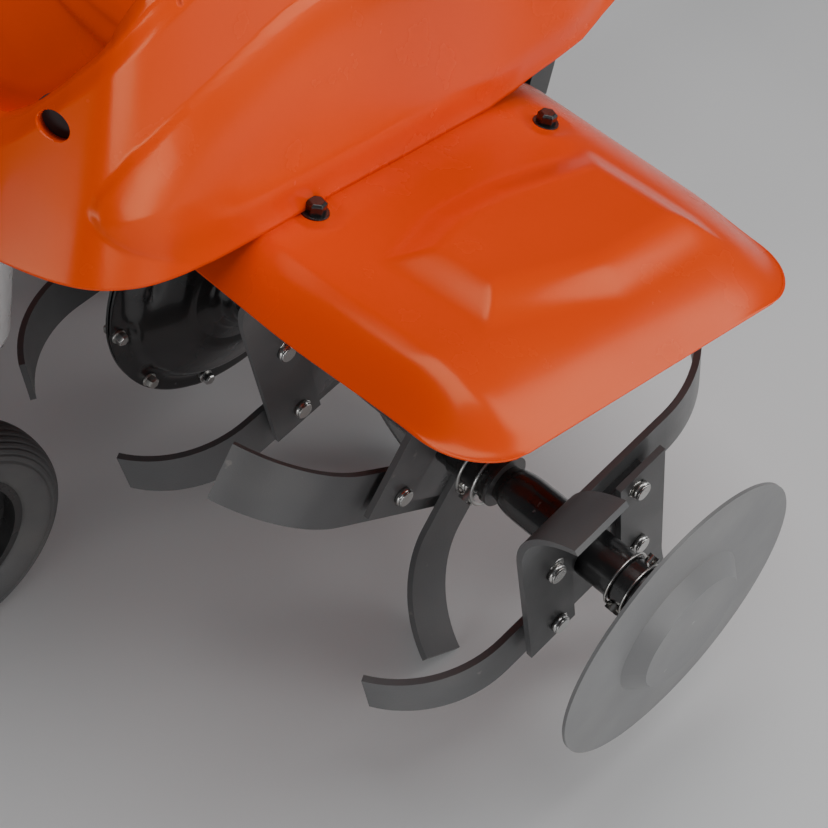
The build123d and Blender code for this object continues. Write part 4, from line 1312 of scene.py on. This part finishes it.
def turned_ring(name, profile, centre, material, body):
    """A closed profile of (radius, across) points turned about a crosswise axle."""
    points = []
    for radius, across in profile:
        for step in range(TYRE_SIDES):
            angle = 2 * math.pi * step / TYRE_SIDES
            points.append(centre + Vector((radius * math.cos(angle), across, radius * math.sin(angle))) * MM)
    faces = []
    count = len(profile)
    for ring in range(count):
        start, following = ring * TYRE_SIDES, (ring + 1) % count * TYRE_SIDES
        for step in range(TYRE_SIDES):
            ahead = (step + 1) % TYRE_SIDES
            faces.append((start + step, following + step, following + ahead, start + ahead))
    made = piece_from(name, points, faces, material, body)
    face_outwards(made)
    return made


def tyre_profile():
    """Bead, side, grooved round tread, and back down the other side."""
    profile = [(BEAD_R, -17.0), (BEAD_R + 3, -18.5), (BEAD_R + 8, -21.5), (BEAD_R + 14, -23.8)]
    for step in range(TYRE_STEPS + 1):
        angle = -math.pi / 2 + math.pi * step / TYRE_STEPS
        radius = TYRE_SIDE_R + TREAD_REACH * abs(math.cos(angle)) ** 0.75
        across = TYRE_HALF * math.copysign(abs(math.sin(angle)) ** 0.9, angle)
        grooved = step % GROOVE_EVERY in (3, 4) and 2 < step < TYRE_STEPS - 2
        groove = GROOVE_DEPTH if grooved else 0.0
        profile.append((radius - groove * math.cos(angle), across - groove * math.sin(angle)))
    profile += [(BEAD_R + 14, 23.8), (BEAD_R + 8, 21.5), (BEAD_R + 3, 18.5), (BEAD_R, 17.0)]
    return profile


tyre = turned_ring("grooved_tyre", tyre_profile(), WHEEL_AT, tyre_rubber, "wheel")
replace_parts(tyre, "tyre")
print("tyre quads:", len(tyre.data.polygons))

# %% [markdown]
# ## The wheel's mount
# The transport wheel swings on a cross pin beside a black pivot block, and the block hangs under
# the deck on a bright round post with a rounded lower end. The solid could have been kept with a
# bevel, but it is one piece, and here the post is bright and the block black. So they are drawn as
# three pieces of one profile or box each. The block covers only the side that the wheel's arm is
# on, so the round end of the post shows on the other.

# %% Post, pivot block and pin
PIVOT, POST_X, POST_R, POST_HIGH = (226.0, 20.0), 246.0, 26.0, 171.0
# The post's finish is lighter and less metallic than the zinc: partly the steel's own pale tone, partly a painted
# reflection of bright light.
post_tone_and_painted_reflection = finish("galvanised post with painted reflection", (0.86, 0.86, 0.85), (0.74, 0.74, 0.74), (0.24, 0.36), metal=0.5,
                     grain=(900.0, 0.08), drift=30.0)
post_profile = [(0.0, 0.0), (1.5, 9.0), (6.0, 17.5), (13.0, 23.0), (22.0, POST_R),
                (POST_HIGH, POST_R), (POST_HIGH, 0.0)]
post = lathe("wheel_post", post_profile, level(POST_X, 0.0, PIVOT[1] + 4.0), up, post_tone_and_painted_reflection,
             "body")
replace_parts(crisp(post, 50.0), "wheel_mount")
block = ((PIVOT[0] - 14, -33.0, PIVOT[1] - 15), (POST_X + 16, -6.0, PIVOT[1] + 14))
top_plate = ((180.0, -33.0, 183.7), (POST_X + POST_R, 33.0, 195.6))
pivot = soft_boxes("pivot_block", [block, top_plate], gloss_black, "body", rounding=3.0)
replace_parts(pivot, "wheel_mount")
pin_profile = [(0.0, 0.0), (0.0, 6.6), (1.3, 7.9), (49.7, 7.9), (51.0, 6.6), (51.0, 0.0)]
pin = lathe("pivot_pin", pin_profile, level(PIVOT[0], -52.0, PIVOT[1]), (0, 1, 0), zinc,
            "body", sides=48)
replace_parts(crisp(pin, 40.0), "wheel_mount")
print("pivot at", PIVOT)

# %% [markdown]
# ## Studio
# The machine stands on a wide pale floor under a dim, even sky. A picture of a room could light it
# as well, but its windows and walls would show in the gloss. A plain floor and sky leave all the
# highlights to the lamps.

# %% Floor and sky
FLOOR_HALF = 40.0
floor_corners = [(x * FLOOR_HALF, y * FLOOR_HALF, 0) for x, y in ((-1, -1), (1, -1), (1, 1), (-1, 1))]
floor_mesh = bpy.data.meshes.new("floor")
floor_mesh.from_pydata(floor_corners, [], [(0, 1, 2, 3)])
floor = bpy.data.objects.new("floor", floor_mesh)
bpy.context.scene.collection.objects.link(floor)
floor_mesh.materials.append(finish("pale studio floor", (0.76, 0.76, 0.76), (0.79, 0.79, 0.79), (0.6, 0.7),
                                   grain=(300.0, 0.02), drift=1.0))

world = bpy.data.worlds.new("studio")
bpy.context.scene.world = world
world.use_nodes = True
sky = world.node_tree.nodes["Background"]
sky.inputs["Color"].default_value = (0.9, 0.93, 1.0, 1.0)
sky.inputs["Strength"].default_value = 0.1


print("floor half width:", FLOOR_HALF, "m")

# %% [markdown]
# ## Lamps
# Four large soft boxes give the long clean highlights that glossy panels need. Small or hard lamps
# would be brighter, but they leave dots on the paint and hard shadows. The overhead box is the
# strongest, so the machine stands on one soft shadow, and the other three draw the edges.

# %% Soft boxes
def softbox(name, place, target, width, depth, power):
    """A rectangular lamp at a place, aimed at a target."""
    light = bpy.data.lights.new(name, "AREA")
    light.shape = "RECTANGLE"
    light.size, light.size_y, light.energy = width, depth, power
    made = bpy.data.objects.new(name, light)
    made.location = place
    made.rotation_euler = (Vector(target) - Vector(place)).to_track_quat("-Z", "Y").to_euler()
    bpy.context.scene.collection.objects.link(made)


softbox("overhead", (-0.5, 0.2, 2.6), (0.0, 0.1, 0.2), 1.7, 1.5, 27)
softbox("rear left", (-1.9, 1.5, 1.3), (0.0, 0.2, 0.3), 1.1, 1.7, 18)
softbox("left low", (0.3, 2.6, 0.75), (0.1, 0.2, 0.2), 2.4, 0.7, 24)
softbox("front low", (2.6, 0.5, 0.5), (0.1, 0.1, 0.2), 1.4, 0.5, 9)

print("lamps:", len(bpy.data.lights))

# %% [markdown]
# ## Camera
# A long lens from the front left and above looks down on the fender, the nose and the tines. A wide
# lens nearer by would show the same pieces, but it would stretch the ones in front. The direction is
# given as a line of sight, and the camera is turned to look along it.

# %% Camera
camera_data = bpy.data.cameras.new("camera")
camera_data.sensor_width = 36.0
camera_data.lens = 78.26
camera = bpy.data.objects.new("camera", camera_data)
camera.location = (0.5751, 0.7900, 1.2488)
camera.rotation_euler = Vector((-0.4263, -0.4307, -0.7955)).to_track_quat("-Z", "Y").to_euler()
bpy.context.scene.collection.objects.link(camera)
bpy.context.scene.camera = camera
print("camera at", tuple(round(v, 3) for v in camera.location))
